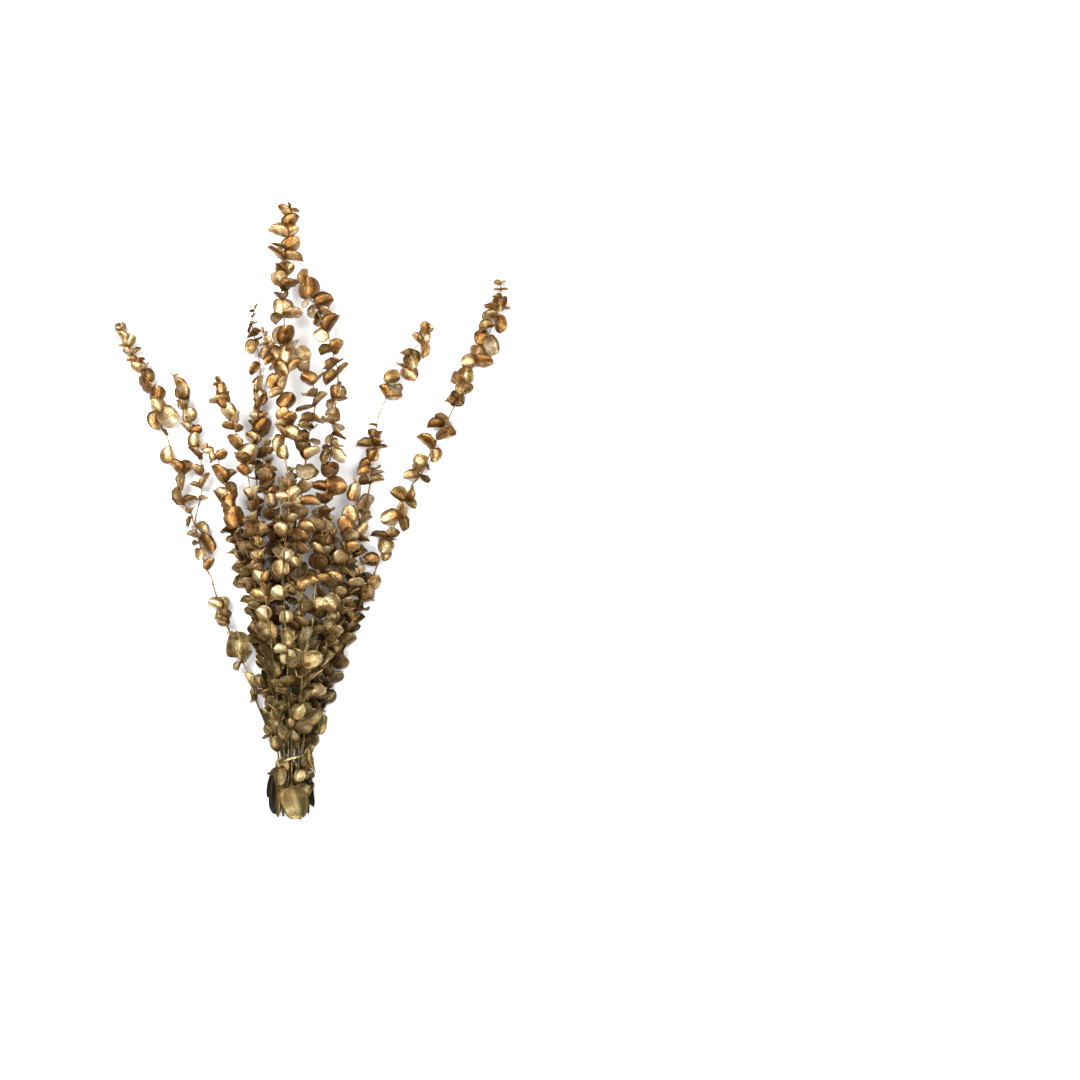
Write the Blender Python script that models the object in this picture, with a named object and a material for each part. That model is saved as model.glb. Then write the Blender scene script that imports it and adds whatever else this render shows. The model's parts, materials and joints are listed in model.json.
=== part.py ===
"""A tied bunch of preserved, gold-painted eucalyptus, lying on a surface.

The bunch lies along the Y axis, its tips at +Y and its cut ends at -Y, and +Z is up from the surface. The
origin is on the surface, under the middle of the bunch. Every stem is one closed solid: a four-sided tube
runs along the stem's route, and where leaves grow, walls of the tube are drawn out into blades. Leaves that
are seen one by one are set as they are seen. The others grow by rule, in opposite pairs, each a quarter turn
round from the next. A strand is pulled round the stems near their cut ends.
"""

import itertools
import math
import random

import bmesh
import bpy
from mathutils import Matrix, Vector
from mathutils.bvhtree import BVHTree

# Driving dimensions, in metres
MM = 0.001
BUNCH_LENGTH = 0.700
SPAN_IN_PIXELS = 611.5
PIXEL = BUNCH_LENGTH / SPAN_IN_PIXELS
CENTRE_PIXEL = (313.4, 510.4)
PICTURE_MIDDLE = (540, 540)
VIEW_HEIGHT = 4500 * PIXEL

# The stems at the strand that ties them
TIE_AT = (293.0, 757.0)
TIE_RADIUS = 0.9 * MM
TIE_GAP = 0.9 * MM
TIE_SLOPE = 0.26
TIE_POINTS = 40
STEM_RADIUS_CUT = 1.6 * MM
STEM_RADIUS_TIP = 0.65 * MM
TAPER_LENGTH = 450 * MM

# Stem growth
ROUTE_STEP = 2.0 * MM
CURVE_STEPS = 24
COLLAR = 0.6 * MM
TIP_LEFT = 1.5 * MM
LEAST_SPACING = 1.8 * MM
OPEN_GAP = 38 * MM
SPACING_AT_TIP = 9.0 * MM
SPACING_BELOW = 14.5 * MM
SPACING_REACH = 80 * MM
TWIST_PER_PAIR = 17.0
LEAST_SPREAD = 12
SQUEEZE_REACH = 115 * MM

# Leaves: half the thickness, and what a leaf keeps clear of its neighbours
LEAF_HALF = 0.4 * MM
CLEARANCE = 0.5 * MM
SEEN_CLEARANCE = 0.4 * MM
LEAF_RATIO = 0.95
YOUNG_REACH = 32 * MM
YOUNG_SHARE = 0.42
SET_ROOM = 6 * MM
CUT_START = 8 * MM
TWIG_START = 14 * MM
TIE_ROWS = (751, 763)

# Outline of a leaf: how far along it, and how wide there, as shares of its length and width
OUTLINE = ((0.0, 0.2), (0.12, 0.55), (0.45, 1.0), (0.8, 0.76), (1.0, 0.2))
WIDEST = (0.48, 1.0)

# A leaf's habit, each drawn between two values: its spread from the stem (degrees), near the tip and below
# it, its swing sideways (degrees), how far its blade turns to face up (a share), its bend (degrees), and its
# size and width (shares of the stem's own)
SPREAD_AT_TIP = (20, 45)
SPREAD_BELOW = (28, 78)
SPREAD_TIP_REACH = 20 * MM
SQUEEZE = 0.65
SWING = (-16, 16)
FACING = (0.0, 0.85)
BEND = (-50, 45)
SIZE = (0.84, 1.16)
BREADTH = (0.8, 1.12)
LEAF_FOOT = 0.7
LEAST_SLANT = 0.2
NEAR_SHARE = 0.75

# How a leaf gives way to its neighbours: more or less spread and swing (degrees), and a share of its size
GIVE_WAY = (
    (0, 0, 1.0), (-12, 14, 1.0), (10, -16, 1.0), (-24, 0, 0.95), (-18, 26, 0.9),
    (-18, -26, 0.9), (-34, 8, 0.85), (16, 20, 0.8), (-40, -14, 0.75), (-30, 30, 0.7),
)

# How a leaf that is seen gives way: more or less pitch and roll (degrees), and a share of its size
SEEN_GIVE_WAY = (
    (0, 0, 1.0), (8, 0, 1.0), (-8, 0, 1.0), (0, 15, 1.0), (0, -15, 1.0), (16, 0, 1.0), (-16, 0, 1.0),
    (12, 18, 0.97), (12, -18, 0.97), (-12, 18, 0.97), (-12, -18, 0.97), (26, 0, 0.95), (-26, 0, 0.95),
    (22, 22, 0.9), (22, -22, 0.9), (-22, 22, 0.9), (-22, -22, 0.9), (38, 0, 0.85), (-38, 0, 0.85),
    (0, 0, 0.8), (10, 20, 0.75), (10, -20, 0.75), (-10, 20, 0.7), (-10, -20, 0.7), (30, 30, 0.7),
    (-30, -30, 0.7),
)
SEEN_SHARE = 0.8
MOST_SHORTENED = 1.9
MOST_NARROWED = 3.6
MOST_BEHIND = -0.25

# Each stem: where it passes the strand (across, up, in millimetres), its leaf length in millimetres, its
# route upwards from the strand (pixels across and down the photograph, then millimetres above the surface),
# the stretches with no leaves (pixels down), and the pixel row of its cut end
STEMS = {
    "stem_left_slender": dict(
        slot=(-8, 27.5), leaf=15, cut=806,
        route=((281, 738, 30), (277, 700, 44), (272, 650, 60), (266, 600, 70), (258, 540, 74),
               (252, 500, 70), (248, 476, 66), (244, 463, 63), (240, 450, 60), (237, 436, 57),
               (234, 426, 54), (231, 416, 51), (229, 405, 48), (225, 395, 46), (220, 385, 44),
               (217, 376, 42)),
        bare=((476, 494),)),
    "stem_centre": dict(
        slot=(0, 27.5), leaf=15.5, cut=798,
        route=((291, 738, 30), (289, 702, 45), (288, 680, 55), (287, 650, 66), (285, 622, 74),
               (284, 600, 78), (283, 575, 82), (285, 545, 84), (289, 505, 84), (288, 475, 80),
               (285, 458, 78), (284, 440, 75), (285, 422, 72), (283, 406, 69), (283, 392, 65),
               (281, 381, 62), (276, 370, 60), (275, 360, 57), (271, 350, 54), (268, 343, 52),
               (265, 335, 50), (264, 330, 49)),
        bare=((455, 480), (606, 640))),
    "stem_tallest": dict(
        slot=(8, 27.5), leaf=20, cut=809,
        route=((299, 738, 30), (301, 700, 43), (303, 650, 60), (302, 600, 72), (299, 550, 76),
               (301, 500, 74), (305, 468, 71), (307, 445, 69), (310, 430, 67), (315, 406, 64),
               (313, 384, 62), (303, 363, 59), (292, 352, 57), (285, 343, 55), (284, 317, 51),
               (281.5, 288, 46), (284, 255, 41), (286.5, 237, 38), (285.5, 228, 36), (288, 217, 34),
               (289.5, 205, 32)),
        bare=()),
    "stem_left_short": dict(
        slot=(-12, 20), leaf=16, cut=812,
        route=((277, 738, 22), (272, 700, 30), (268, 655, 40), (262, 620, 48), (256, 590, 53),
               (249, 560, 56), (240, 530, 56), (230, 505, 54), (225, 485, 52), (221, 470, 50),
               (217, 458, 48), (213, 453, 47), (205, 449, 46)),
        bare=()),
    "stem_right_tall": dict(
        slot=(12, 20), leaf=18.5, cut=803,
        route=((304, 738, 22), (308, 700, 32), (311, 650, 45), (314, 600, 55), (320, 550, 58),
               (326, 500, 57), (328, 475, 56), (331, 452, 54), (334, 425, 51), (336, 400, 48),
               (338, 374, 45), (335, 361, 43), (330, 341, 41), (325, 325, 38), (316, 305, 35),
               (309, 298, 33), (303, 283, 31), (304, 269, 30)),
        bare=()),
    "stem_far_left": dict(
        slot=(-12, 5), leaf=14.5, cut=816,
        route=((278, 744, 7), (270, 733, 8), (262, 715, 10), (256, 700, 12), (252, 686, 13), (247, 672, 14),
               (243, 663, 14), (239, 655, 15), (233, 640, 15), (227, 625, 15), (224, 614, 15),
               (219, 603, 15), (214, 588, 15), (211, 577, 14), (206, 568, 14), (203, 556, 14),
               (199, 540, 14), (196, 528, 14), (193, 520, 14), (190, 512, 14), (184, 503, 14),
               (181, 492, 14), (183, 480, 14), (181, 472, 13), (173, 461, 13), (170, 447, 12),
               (167, 437, 12), (162, 428, 12), (160, 412, 11), (154, 400, 11), (149, 391, 10),
               (147, 382, 10), (143, 371, 10), (136, 361, 9), (133, 354, 9), (128, 347, 9), (125, 341, 8),
               (122, 331, 8), (119, 324, 8)),
        bare=((433, 446), (566, 606), (702, 730))),
    "stem_far_right": dict(
        slot=(12, 5), leaf=17, cut=805,
        route=((309, 738, 7), (318, 705, 11), (331, 668, 15), (347, 632, 16), (364, 596, 16),
               (372, 579, 16), (382, 553, 16), (389, 538, 16), (398, 516, 16), (403, 501, 16),
               (409, 493, 16), (412, 485, 16), (421, 474, 16), (428, 458, 15), (436, 441, 15),
               (444, 427, 15), (454, 407, 14), (460, 393, 14), (469, 374, 13), (478, 355, 13),
               (484, 343, 12), (490, 331, 12), (497, 316, 11), (500, 305, 10), (501, 295, 10),
               (500, 282, 9)),
        bare=()),
    "stem_right": dict(
        slot=(4, 5), leaf=16.5, cut=811,
        route=((300, 738, 7), (308, 700, 11), (322, 655, 15), (337, 618, 16), (348, 585, 17),
               (355, 555, 18), (358, 540, 18), (361, 520, 18), (367, 500, 18), (370, 483, 18),
               (370, 472, 18), (373, 455, 17), (375, 435, 17), (379, 415, 16), (385, 401, 16),
               (394, 385, 15), (404, 368, 14), (409, 356, 13), (415, 348, 12), (420, 342, 11),
               (426, 332, 10), (427, 324, 10)),
        bare=((402, 428),)),
    "stem_centre_left": dict(
        slot=(-4, 5), leaf=13.5, cut=800,
        route=((288, 738, 7), (281, 700, 12), (272, 650, 17), (264, 600, 20), (259, 550, 22),
               (257, 500, 22), (257, 465, 21), (258, 440, 21), (260, 425, 20), (259, 408, 20),
               (261, 385, 19), (260, 370, 18), (259, 358, 17), (256, 343, 16), (253, 331, 15),
               (252, 320, 14), (254, 311, 13), (256, 306, 12)),
        bare=()),
    "stem_right_short": dict(
        slot=(16, 12.5), leaf=16.5, cut=808,
        route=((309, 738, 15), (314, 700, 24), (322, 660, 34), (334, 620, 41), (342, 580, 44),
               (347, 545, 44), (353, 515, 43), (355, 500, 42), (355, 481, 41)),
        bare=()),
    "stem_inner_short": dict(
        slot=(4, 20), leaf=14, cut=800,
        route=((296, 738, 21), (297, 700, 29), (296, 650, 42), (294, 600, 50), (292, 555, 53), (291, 515, 53),
               (290, 490, 52), (292, 470, 50)),
        bare=()),
    "stem_inner_left": dict(
        slot=(-8, 12.5), leaf=15, cut=805,
        route=((284, 738, 15), (279, 700, 22), (275, 650, 32), (277, 600, 38), (276, 550, 41), (271, 505, 42),
               (267, 470, 42), (268, 442, 41)),
        bare=()),
    "stem_inner_centre": dict(
        slot=(-4, 20), leaf=14, cut=813,
        route=((288, 738, 21), (285, 700, 28), (282, 650, 39), (281, 610, 46), (283, 565, 50), (284, 530, 51),
               (285, 505, 52)),
        bare=()),
    "stem_low_left": dict(
        slot=(-16, 12.5), leaf=16, cut=801,
        route=((275, 738, 15), (270, 700, 21), (264, 655, 28), (258, 620, 32), (252, 592, 33),
               (243, 562, 32), (234, 532, 30), (226, 506, 28)),
        bare=()),
    "stem_low_right": dict(
        slot=(8, 12.5), leaf=16.5, cut=804,
        route=((303, 738, 15), (309, 700, 22), (322, 655, 29), (338, 615, 34), (352, 585, 35),
               (363, 560, 34)),
        bare=()),
    "stem_low_centre": dict(
        slot=(0, 12.5), leaf=16, cut=810,
        route=((294, 738, 15), (299, 700, 22), (308, 650, 32), (318, 610, 38), (326, 575, 40), (329, 545, 40),
               (330, 520, 38)),
        bare=()),
}

# The side twig of the far left stem: where it forks, its leaf length, and its route
TWIG = dict(
    parent="stem_far_left", fork=525, leaf=13,
    route=((196, 516, 16), (198, 508, 18), (201, 497, 20), (202, 486, 21), (202, 475, 21),
           (201, 462, 21), (199, 452, 20), (196, 445, 19), (193, 436, 18), (191, 430, 17),
           (188, 420, 16), (184, 409, 15), (181, 399, 14), (177, 388, 13), (174, 377, 12),
           (170, 371, 11)))

# Leaves that are seen one by one, for each stem from its tip down: the pixel row where they grow, then for
# each leaf the way it points (degrees from +X) and its length and width as seen (pixels). A length below zero
# is a leaf whose tip leans down
SEEN_LEAVES = {
    "stem_tallest": (
        (207, (95, 5, 1.5)), (211, (-5, 10, 4), (165, 6, 2)), (217, (132, 14, 9)),
        (227, (40, 16, 12), (160, 9, 1.5)),
        (237, (162, 18, 9), (42, 14, 8)), (249, (38, 16, 14), (160, 13, 3)),
        (260, (142, 19, 7), (-3, 18, 6)),
        (276, (88, 13, 9), (50, 15, 12), (115, 12, 6)), (285, (100, 13, 15)),
        (289, (22, 17, 8), (128, 18, 2.5)),
        (300, (-90, 15, 18), (90, -7, 13)), (317, (133, 22, 5), (12, 17, 7), (-130, 10, 8)),
        (327, (-92, 17, 18)),
        (343, (78, 20, 12)), (346, (-88, 18, 18)), (350, (60, 9, 7)), (357, (10, 13, 15)),
        (365, (-155, 15, 6)),
        (372, (80, 11, 8)), (384, (140, 14, 11), (172, 15, 3), (46, 15, 3)), (397, (175, 10, 4), (5, 8, 4)),
        (406, (-166, 18, 3), (45, 16, 4)), (421, (172, 10, 8), (-15, 9, 7)),
        (430, (152, 11, 6), (12, 8, 6)),
        (441, (165, 9, 9), (-25, 9, 5)), (459, (120, 18, 9), (30, 16, 6)), (467, (-90, 12, 17)),
        (611, (110, 20, 7), (65, 14, 10)), (626, (120, 11, 5)), (648, (70, 21, 11)),
        (682, (115, 20, 13), (55, 20, 10)),
        (703, (48, 19, 6), (20, 14, 6)), (719, (120, 16, 9), (60, 17, 12))),
    "stem_right_tall": (
        (283, (75, 14, 9)), (297, (95, 19, 18), (62, 16, 10), (125, 16, 6), (-98, 10, 7)),
        (305, (15, 17, 13), (-95, 12, 5)), (314, (10, 10, 4), (-70, 11, 4), (-108, 11, 2)),
        (331, (52, 18, 12), (-155, 13, 13)), (352, (50, 14, 12), (-162, 11, 5)),
        (364, (-160, 11, 9), (35, 6, 5)),
        (374, (-135, 15, 9), (62, 15, 4), (45, 14, 6)), (386, (-95, 14, 15), (-75, 9, 3)),
        (401, (25, 9, 6), (-115, 11, 4)), (421, (92, 13, 13)), (424, (165, 11, 6), (-50, 9, 6)),
        (429, (55, 9, 5), (-30, 8, 5)), (435, (-22, 12, 4), (-117, 10, 2)), (447, (-145, 5, 3), (10, 8, 6)),
        (452, (-40, 15, 10), (-110, 12, 4)), (463, (-95, 14, 16)), (475, (25, 9, 6)),
        (582, (155, 19, 9), (10, 14, 6)),
        (612, (25, 16, 12), (150, 12, 8)), (638, (35, 14, 4)), (660, (65, 20, 14)),
        (680, (40, 17, 7), (130, 13, 9))),
    "stem_far_right": (
        (284, (35, 6, 2.5), (165, 6, 3), (110, 5, 2)), (290, (2, 7, 1.5), (178, 7, 1.5)),
        (298, (-90, 13, 13), (176, 8, 2)), (309, (175, 16, 6), (2, 12, 2)),
        (316, (-80, 16, 12), (-170, 14, 9)),
        (325, (-150, 14, 9)), (337, (-70, 18, 8), (180, 12, 15)), (348, (-110, 14, 19), (-158, 13, 8)),
        (361, (185, 13, 13), (-8, 17, 12)),
        (383, (80, -15, 15), (172, 20, 8), (-48, 16, 3), (-112, 12, 16)),
        (405, (85, -14, 12), (155, 14, 6), (5, 8, 2)), (425, (130, 13, 12), (-10, 7, 3)),
        (428, (180, 15, 5)),
        (438, (20, 18, 10)), (449, (140, 18, 10), (-80, 12, 10)), (462, (165, 12, 13)), (466, (75, -9, 7)),
        (470, (165, 12, 4), (-150, 9, 7)), (475, (-45, 10, 5), (60, 6, 3)), (477.5, (183, 14, 8)),
        (485, (-170, 12, 2)), (497, (55, 14, 7)), (500, (148, 14, 12), (-35, 13, 6)),
        (516, (72, -15, 11), (-160, 16, 14), (-72, 15, 6)), (538, (45, -11, 9), (140, -7, 6), (172, 17, 6)),
        (541, (-120, 13, 15), (12, 7, 2.5)), (550, (-62, 12, 2), (-85, 10, 7)),
        (562, (178, 14, 12), (-150, 14, 11)),
        (588, (50, 15, 12), (110, 15, 10))),
    "stem_right": (
        (332, (98, 10, 10), (30, 8, 6)), (342, (62, 13, 11), (135, 11, 8), (165, 8, 2), (-80, 15, 8)),
        (350, (-110, 13, 15)), (357, (155, 9, 6), (-70, 15, 11)), (368, (-50, 15, 14), (150, 7, 3)),
        (377, (190, 14, 12)), (386, (-85, 9, 13)), (397, (128, 13, 10), (8, 14, 8), (178, 13, 4)),
        (426, (170, 8, 1.5)), (441, (115, 12, 7), (48, 12, 4)), (445, (184, 16, 10), (25, 8, 7)),
        (449, (8, 13, 2)),
        (461, (100, 12, 10), (60, 12, 7)), (463.5, (-150, 11, 6)), (470, (-160, 12, 10), (10, 9, 4)),
        (474, (8, 13, 6)), (482, (-165, 10, 8), (8, 13, 8)),
        (511, (60, -17, 10), (-12, 13, 3), (-60, 9, 7)),
        (524, (32, 13, 6)), (536, (60, 14, 10)), (540, (-5, 11, 7)), (544, (-75, 10, 6))),
    "stem_right_short": (
        (483, (100, 5, 3)), (500, (80, 16, 10)), (521, (100, 15, 13)), (530, (120, 15, 14)),
        (583, (165, 16, 9)),
        (645, (50, 13, 9)), (668, (45, 19, 8))),
    "stem_centre": (
        (332, (100, 4, 2)), (337, (130, 6, 2), (75, 6, 2), (155, 5, 1.5)), (345, (110, 9, 6), (185, 10, 4)),
        (350, (55, 8, 4), (-125, 12, 6), (-45, 15, 12)), (360, (205, 10, 5)),
        (364, (-50, 15, 11), (-110, 6, 3)),
        (376, (-120, 14, 13)), (389, (70, 13, 9)), (392, (200, 13, 9)), (408, (60, 16, 13)),
        (420, (100, 12, 13), (140, 13, 5)), (427, (55, 16, 9), (165, 9, 5)), (430, (-30, 15, 14)),
        (437, (-110, 16, 9), (125, 13, 3)), (458, (85, 12, 10)), (574, (95, 14, 15)),
        (598, (60, 12, 8), (140, 14, 10)),
        (622, (92, 11, 12), (140, 12, 7)), (631, (-90, 13, 12)), (652, (165, 12, 9)),
        (663, (90, 13, 14), (30, 12, 10)),
        (685, (90, 9, 16)), (693, (170, 14, 7)), (703, (112, 14, 10))),
    "stem_centre_left": (
        (308, (60, 5, 1.5)), (312, (165, 4, 2.5)), (317, (170, 4, 2.5), (50, 5, 2.5)),
        (324, (-108, 9, 2), (15, 4, 2)),
        (336, (45, 8, 6), (-160, 5, 3)), (341, (20, 7, 1.5), (-112, 13, 12)), (364, (-125, 13, 8)),
        (379, (-152, 9, 2), (60, 6, 2)), (392, (80, 16, 7), (115, 8, 8)), (405, (105, 16, 8), (60, 13, 5)),
        (410, (65, 14, 5), (80, 10, 6)), (414, (135, 8, 6)), (419, (150, 10, 7), (40, 9, 6)),
        (434, (125, 16, 9), (55, 17, 12)), (443, (140, 14, 11), (100, 9, 6))),
    "stem_left_slender": (
        (377, (110, 4, 2)), (383, (115, 7, 4), (60, 5, 2)), (386, (165, 7, 4)),
        (393, (190, 9, 6), (105, 11, 8)),
        (404, (178, 19, 6)), (407, (92, 15, 6)), (419, (115, 17, 12), (30, 8, 1.5)),
        (428, (80, 16, 5), (165, 12, 8)),
        (432, (100, 8, 8)), (447, (135, 15, 12), (75, 16, 11)), (463, (125, 18, 12), (60, 19, 15)),
        (600, (150, 16, 12), (50, 13, 8)), (619, (140, 14, 13)), (640, (128, 20, 12)), (656, (140, 14, 11)),
        (676, (115, 20, 14)), (695, (120, 15, 9))),
    "stem_left_short": (
        (449.5, (165, 8, 1.5), (80, 6, 2)), (453, (172, 9, 6), (20, 13, 1.5)),
        (458, (35, 11, 8), (125, 8, 5), (-140, 8, 1.5)), (482, (128, -19, 13), (92, -17, 8), (38, 15, 7)),
        (485, (-55, 16, 10)), (504, (140, 19, 14)), (510, (80, 15, 11)),
        (526, (104, -19, 15), (120, 18, 6)),
        (530, (-75, 12, 10), (-110, 15, 4)), (617, (130, 17, 14)), (672, (140, 16, 9))),
    "stem_far_left": (
        (326, (100, 4, 2)), (330, (100, 7, 10), (165, 7, 3), (0, 5, 2)), (341, (130, 11, 8.5)),
        (346, (72, 12, 11), (178, 8, 2)), (354, (150, 10, 8), (28, 9, 4)), (362, (176, 8, 4.5), (28, 8, 2)),
        (371, (145, 13, 10), (45, 8, 4)), (382, (88, -13, 13), (140, 11, 1.5)),
        (391, (122, 16, 10), (75, 7, 3)),
        (400, (85, 14, 14), (130, 8, 1.5)), (412, (120, 14, 13), (-42, 19, 12), (-88, 17, 8)),
        (429, (-60, 7, 4), (150, 6, 2)), (461, (105, 15, 11), (128, 12, 5)),
        (472, (135, 14, 11), (40, 13, 11)),
        (474.5, (-85, 15, 12)), (487, (130, 12, 5)), (503, (107, 17, 9), (15, 13, 6)),
        (513, (145, 11, 5), (60, 6, 4)),
        (517, (-105, 10, 5)), (520, (10, 7, 3)), (526, (-50, 13, 8)), (535, (175, 10, 7)),
        (538, (-50, 19, 10)),
        (543, (-150, 5, 2)), (549, (-85, 11, 11)), (570, (60, 12, 8)),
        (624, (100, -18, 15), (148, 14, 8), (62, 15, 7)),
        (640, (68, 17, 8), (115, 14, 9)), (655, (98, -22, 20), (150, 11, 6)),
        (662, (50, 13, 8), (-110, 8, 4)),
        (686, (115, 14, 8), (55, 10, 3)), (700, (95, 13, 6), (-170, 5, 4)), (735, (-150, 6, 3))),
    "twig": (
        (376, (128, 7, 1.5), (-10, 4, 2)), (398, (107, 21, 6), (75, 12, 7), (45, 7, 4)),
        (409, (75, 15, 10), (132, 11, 4)), (421, (97, 13, 13), (20, 5, 2)),
        (432, (142, 13, 9), (25, 10, 8)),
        (446, (95, 13, 10), (-35, 9, 2)), (459, (137, 16, 3.5), (65, 7, 1.5)),
        (474, (150, 13, 10), (75, 8, 4)),
        (488, (158, 11, 2), (62, 16, 3.5)), (500, (100, 7, 4), (20, 7, 5), (185, 9, 1.5))),
}

# Leaves set by hand round the tied end. Each grows from the face of a stem at a pixel row. Its blade's middle
# is given as a route point is, then its length and width in millimetres, the way it points (degrees from +X)
# and the slope of its blade across and along (degrees).
SET_LEAVES = (
    ("stem_centre", 777, (296, 803, 36), 33, 25, -75, 6, -4),
    ("stem_left_slender", 764, (279, 777, 34), 18, 13, -95, -14, -8),
    ("stem_tallest", 740, (313, 760, 38), 24, 9, -78, 34, -6),
    ("stem_left_slender", 783, (277, 800, 31), 36, 6, -88, -50, -6),
    ("stem_centre", 722, (298, 710, 47), 17, 15, 52, 20, 8),
    ("stem_tallest", 722, (313, 713, 45), 18, 15, 40, 42, 0),
    ("stem_right_tall", 735, (322, 724, 32), 20, 8, 75, 30, 0),
    ("stem_left_slender", 745, (283, 731, 41), 16, 14, 110, -18, 6),
    ("stem_tallest", 768, (300, 776, 38), 12, 11, -100, 8, -2),
    ("stem_left_short", 788, (273, 797, 24), 32, 10, -93, -48, 0),
    ("stem_right_tall", 782, (308, 797, 23), 34, 10, -88, 46, 0),
    ("stem_low_left", 775, (270, 786, 14), 24, 11, -100, -30, 0),
    ("stem_right_short", 777, (312, 793, 12), 28, 12, -84, 35, 0),
    ("stem_far_left", 782, (278, 800, 8), 30, 14, -94, 0, 0),
    ("stem_right", 780, (301, 802, 9), 30, 15, -88, 0, 0),
    ("stem_right_tall", 745, (309, 750, 30), 14, 8, 60, 40, 0),
)

# Paint, as seen on the whole stem
GOLD = (0.42, 0.27, 0.08, 1.0)
STRAND_GOLD = (0.55, 0.40, 0.18, 1.0)


def place(point):
    """A route point as a place over the surface, in metres. The higher a place is, the larger it is seen, so
    it is drawn in towards the middle of the picture."""
    height = point[2] * MM
    nearer = 1 - height / VIEW_HEIGHT
    across, down = (middle + (p - middle) * nearer for p, middle in zip(point, PICTURE_MIDDLE))
    return Vector(((across - CENTRE_PIXEL[0]) * PIXEL, (CENTRE_PIXEL[1] - down) * PIXEL, height))


def seen_row(place):
    """The pixel row of the photograph that a place is seen on."""
    down = CENTRE_PIXEL[1] - place.y / PIXEL
    return PICTURE_MIDDLE[1] + (down - PICTURE_MIDDLE[1]) / (1 - place.z / VIEW_HEIGHT)


def catmull_rom(a, b, c, d, t):
    """A point on the smooth curve between b and c."""
    square = 2 * a - 5 * b + 4 * c - d
    cube = 3 * b - a - 3 * c + d
    return 0.5 * (2 * b + (c - a) * t + square * t * t + cube * t ** 3)


def smooth_route(points):
    """Evenly spaced points along the smooth curve through the given ones."""
    ends = [points[0] * 2 - points[1], *points, points[-1] * 2 - points[-2]]
    fine = []
    for i in range(len(points) - 1):
        fine += [catmull_rom(*ends[i:i + 4], k / CURVE_STEPS) for k in range(CURVE_STEPS)]
    fine.append(points[-1])
    route = [fine[0]]
    for point in fine[1:]:
        gap = (point - route[-1]).length
        while gap >= ROUTE_STEP:
            route.append(route[-1].lerp(point, ROUTE_STEP / gap))
            gap = (point - route[-1]).length
    return route


class Route:
    """A stem's middle line with a frame carried along it without twisting."""

    def __init__(self, points):
        self.points = smooth_route(points)
        self.length = (len(self.points) - 1) * ROUTE_STEP
        self.tangents = []
        self.normals = []
        normal = Vector((0, 0, 1))
        last = len(self.points) - 1
        for i in range(last + 1):
            tangent = (self.points[min(i + 2, last)] - self.points[max(i - 2, 0)]).normalized()
            normal = (normal - tangent * normal.dot(tangent)).normalized()
            self.tangents.append(tangent)
            self.normals.append(normal)

    def at(self, s):
        """Middle, direction and normal at a distance from the cut end."""
        f = min(max(s / ROUTE_STEP, 0), len(self.points) - 1.001)
        i = int(f)
        middle = self.points[i].lerp(self.points[i + 1], f - i)
        tangent = self.tangents[i].lerp(self.tangents[i + 1], f - i).normalized()
        normal = self.normals[i].lerp(self.normals[i + 1], f - i)
        return middle, tangent, (normal - tangent * normal.dot(tangent)).normalized()

    def row(self, s):
        """The pixel row of the photograph that a distance along the stem is seen on."""
        return seen_row(self.at(s)[0])

    def reach(self, row):
        """The distance along the stem at which it crosses a pixel row."""
        rows = [seen_row(point) for point in self.points]
        for i in range(1, len(rows)):
            if rows[i] <= row:
                return (i - (row - rows[i]) / max(rows[i - 1] - rows[i], 0.1)) * ROUTE_STEP
        return self.length


def radius_at(route, s):
    """The stem is thickest at its cut end and thins towards its tip."""
    share = min(max((route.length - s) / TAPER_LENGTH, 0), 1)
    return STEM_RADIUS_TIP + (STEM_RADIUS_CUT - STEM_RADIUS_TIP) * share


def age_at(from_tip):
    """The size of a leaf as a share of a full-grown one, by its distance from the stem's tip."""
    return min(1.0, YOUNG_SHARE + (1 - YOUNG_SHARE) * from_tip / YOUNG_REACH)


def pair_spacing(route, s, rng):
    """The gap from one leaf pair down to the next: short near the tip, where the stem is still growing."""
    ageing = 1 - math.exp(-(route.length - s) / SPACING_REACH)
    return (SPACING_AT_TIP + (SPACING_BELOW - SPACING_AT_TIP) * ageing) * rng.uniform(0.85, 1.15)


def pair_places(route, seed, bare, start, set_at, seen):
    """Distances along the stem of its leaf pairs, from the cut end up, and what each bears: leaves of its own
    (True), none (False), or the leaves that are seen there."""
    rng = random.Random(seed)
    found = [(s, False) for s in set_at]
    s = route.length - TIP_LEFT

    def fill(s, low):
        if s < route.length - TIP_LEFT:
            s -= pair_spacing(route, s, rng)
        while s > low + LEAST_SPACING:
            row = route.row(s)
            leafy = not any(top <= row <= lowest for top, lowest in bare)
            if all(abs(s - other) > SET_ROOM for other in set_at):
                found.append((s, leafy))
            s -= pair_spacing(route, s, rng)

    for row, *sights in seen:
        reach = min(s, route.reach(row))
        if s - reach > OPEN_GAP:
            fill(s, reach)
        found.append((reach, sights))
        s = reach - LEAST_SPACING
    fill(s, start)
    return sorted(found, key=lambda pair: pair[0]), rng.uniform(0, 90)


def tube_ring(route, s, turn):
    """The four corners of a stem's tube at a distance along it."""
    middle, tangent, normal = route.at(s)
    side = tangent.cross(normal)
    radius = radius_at(route, s)
    angles = [math.radians(turn + 45 + 90 * k) for k in range(4)]
    return [middle + (normal * math.cos(a) + side * math.sin(a)) * radius for a in angles]


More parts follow.
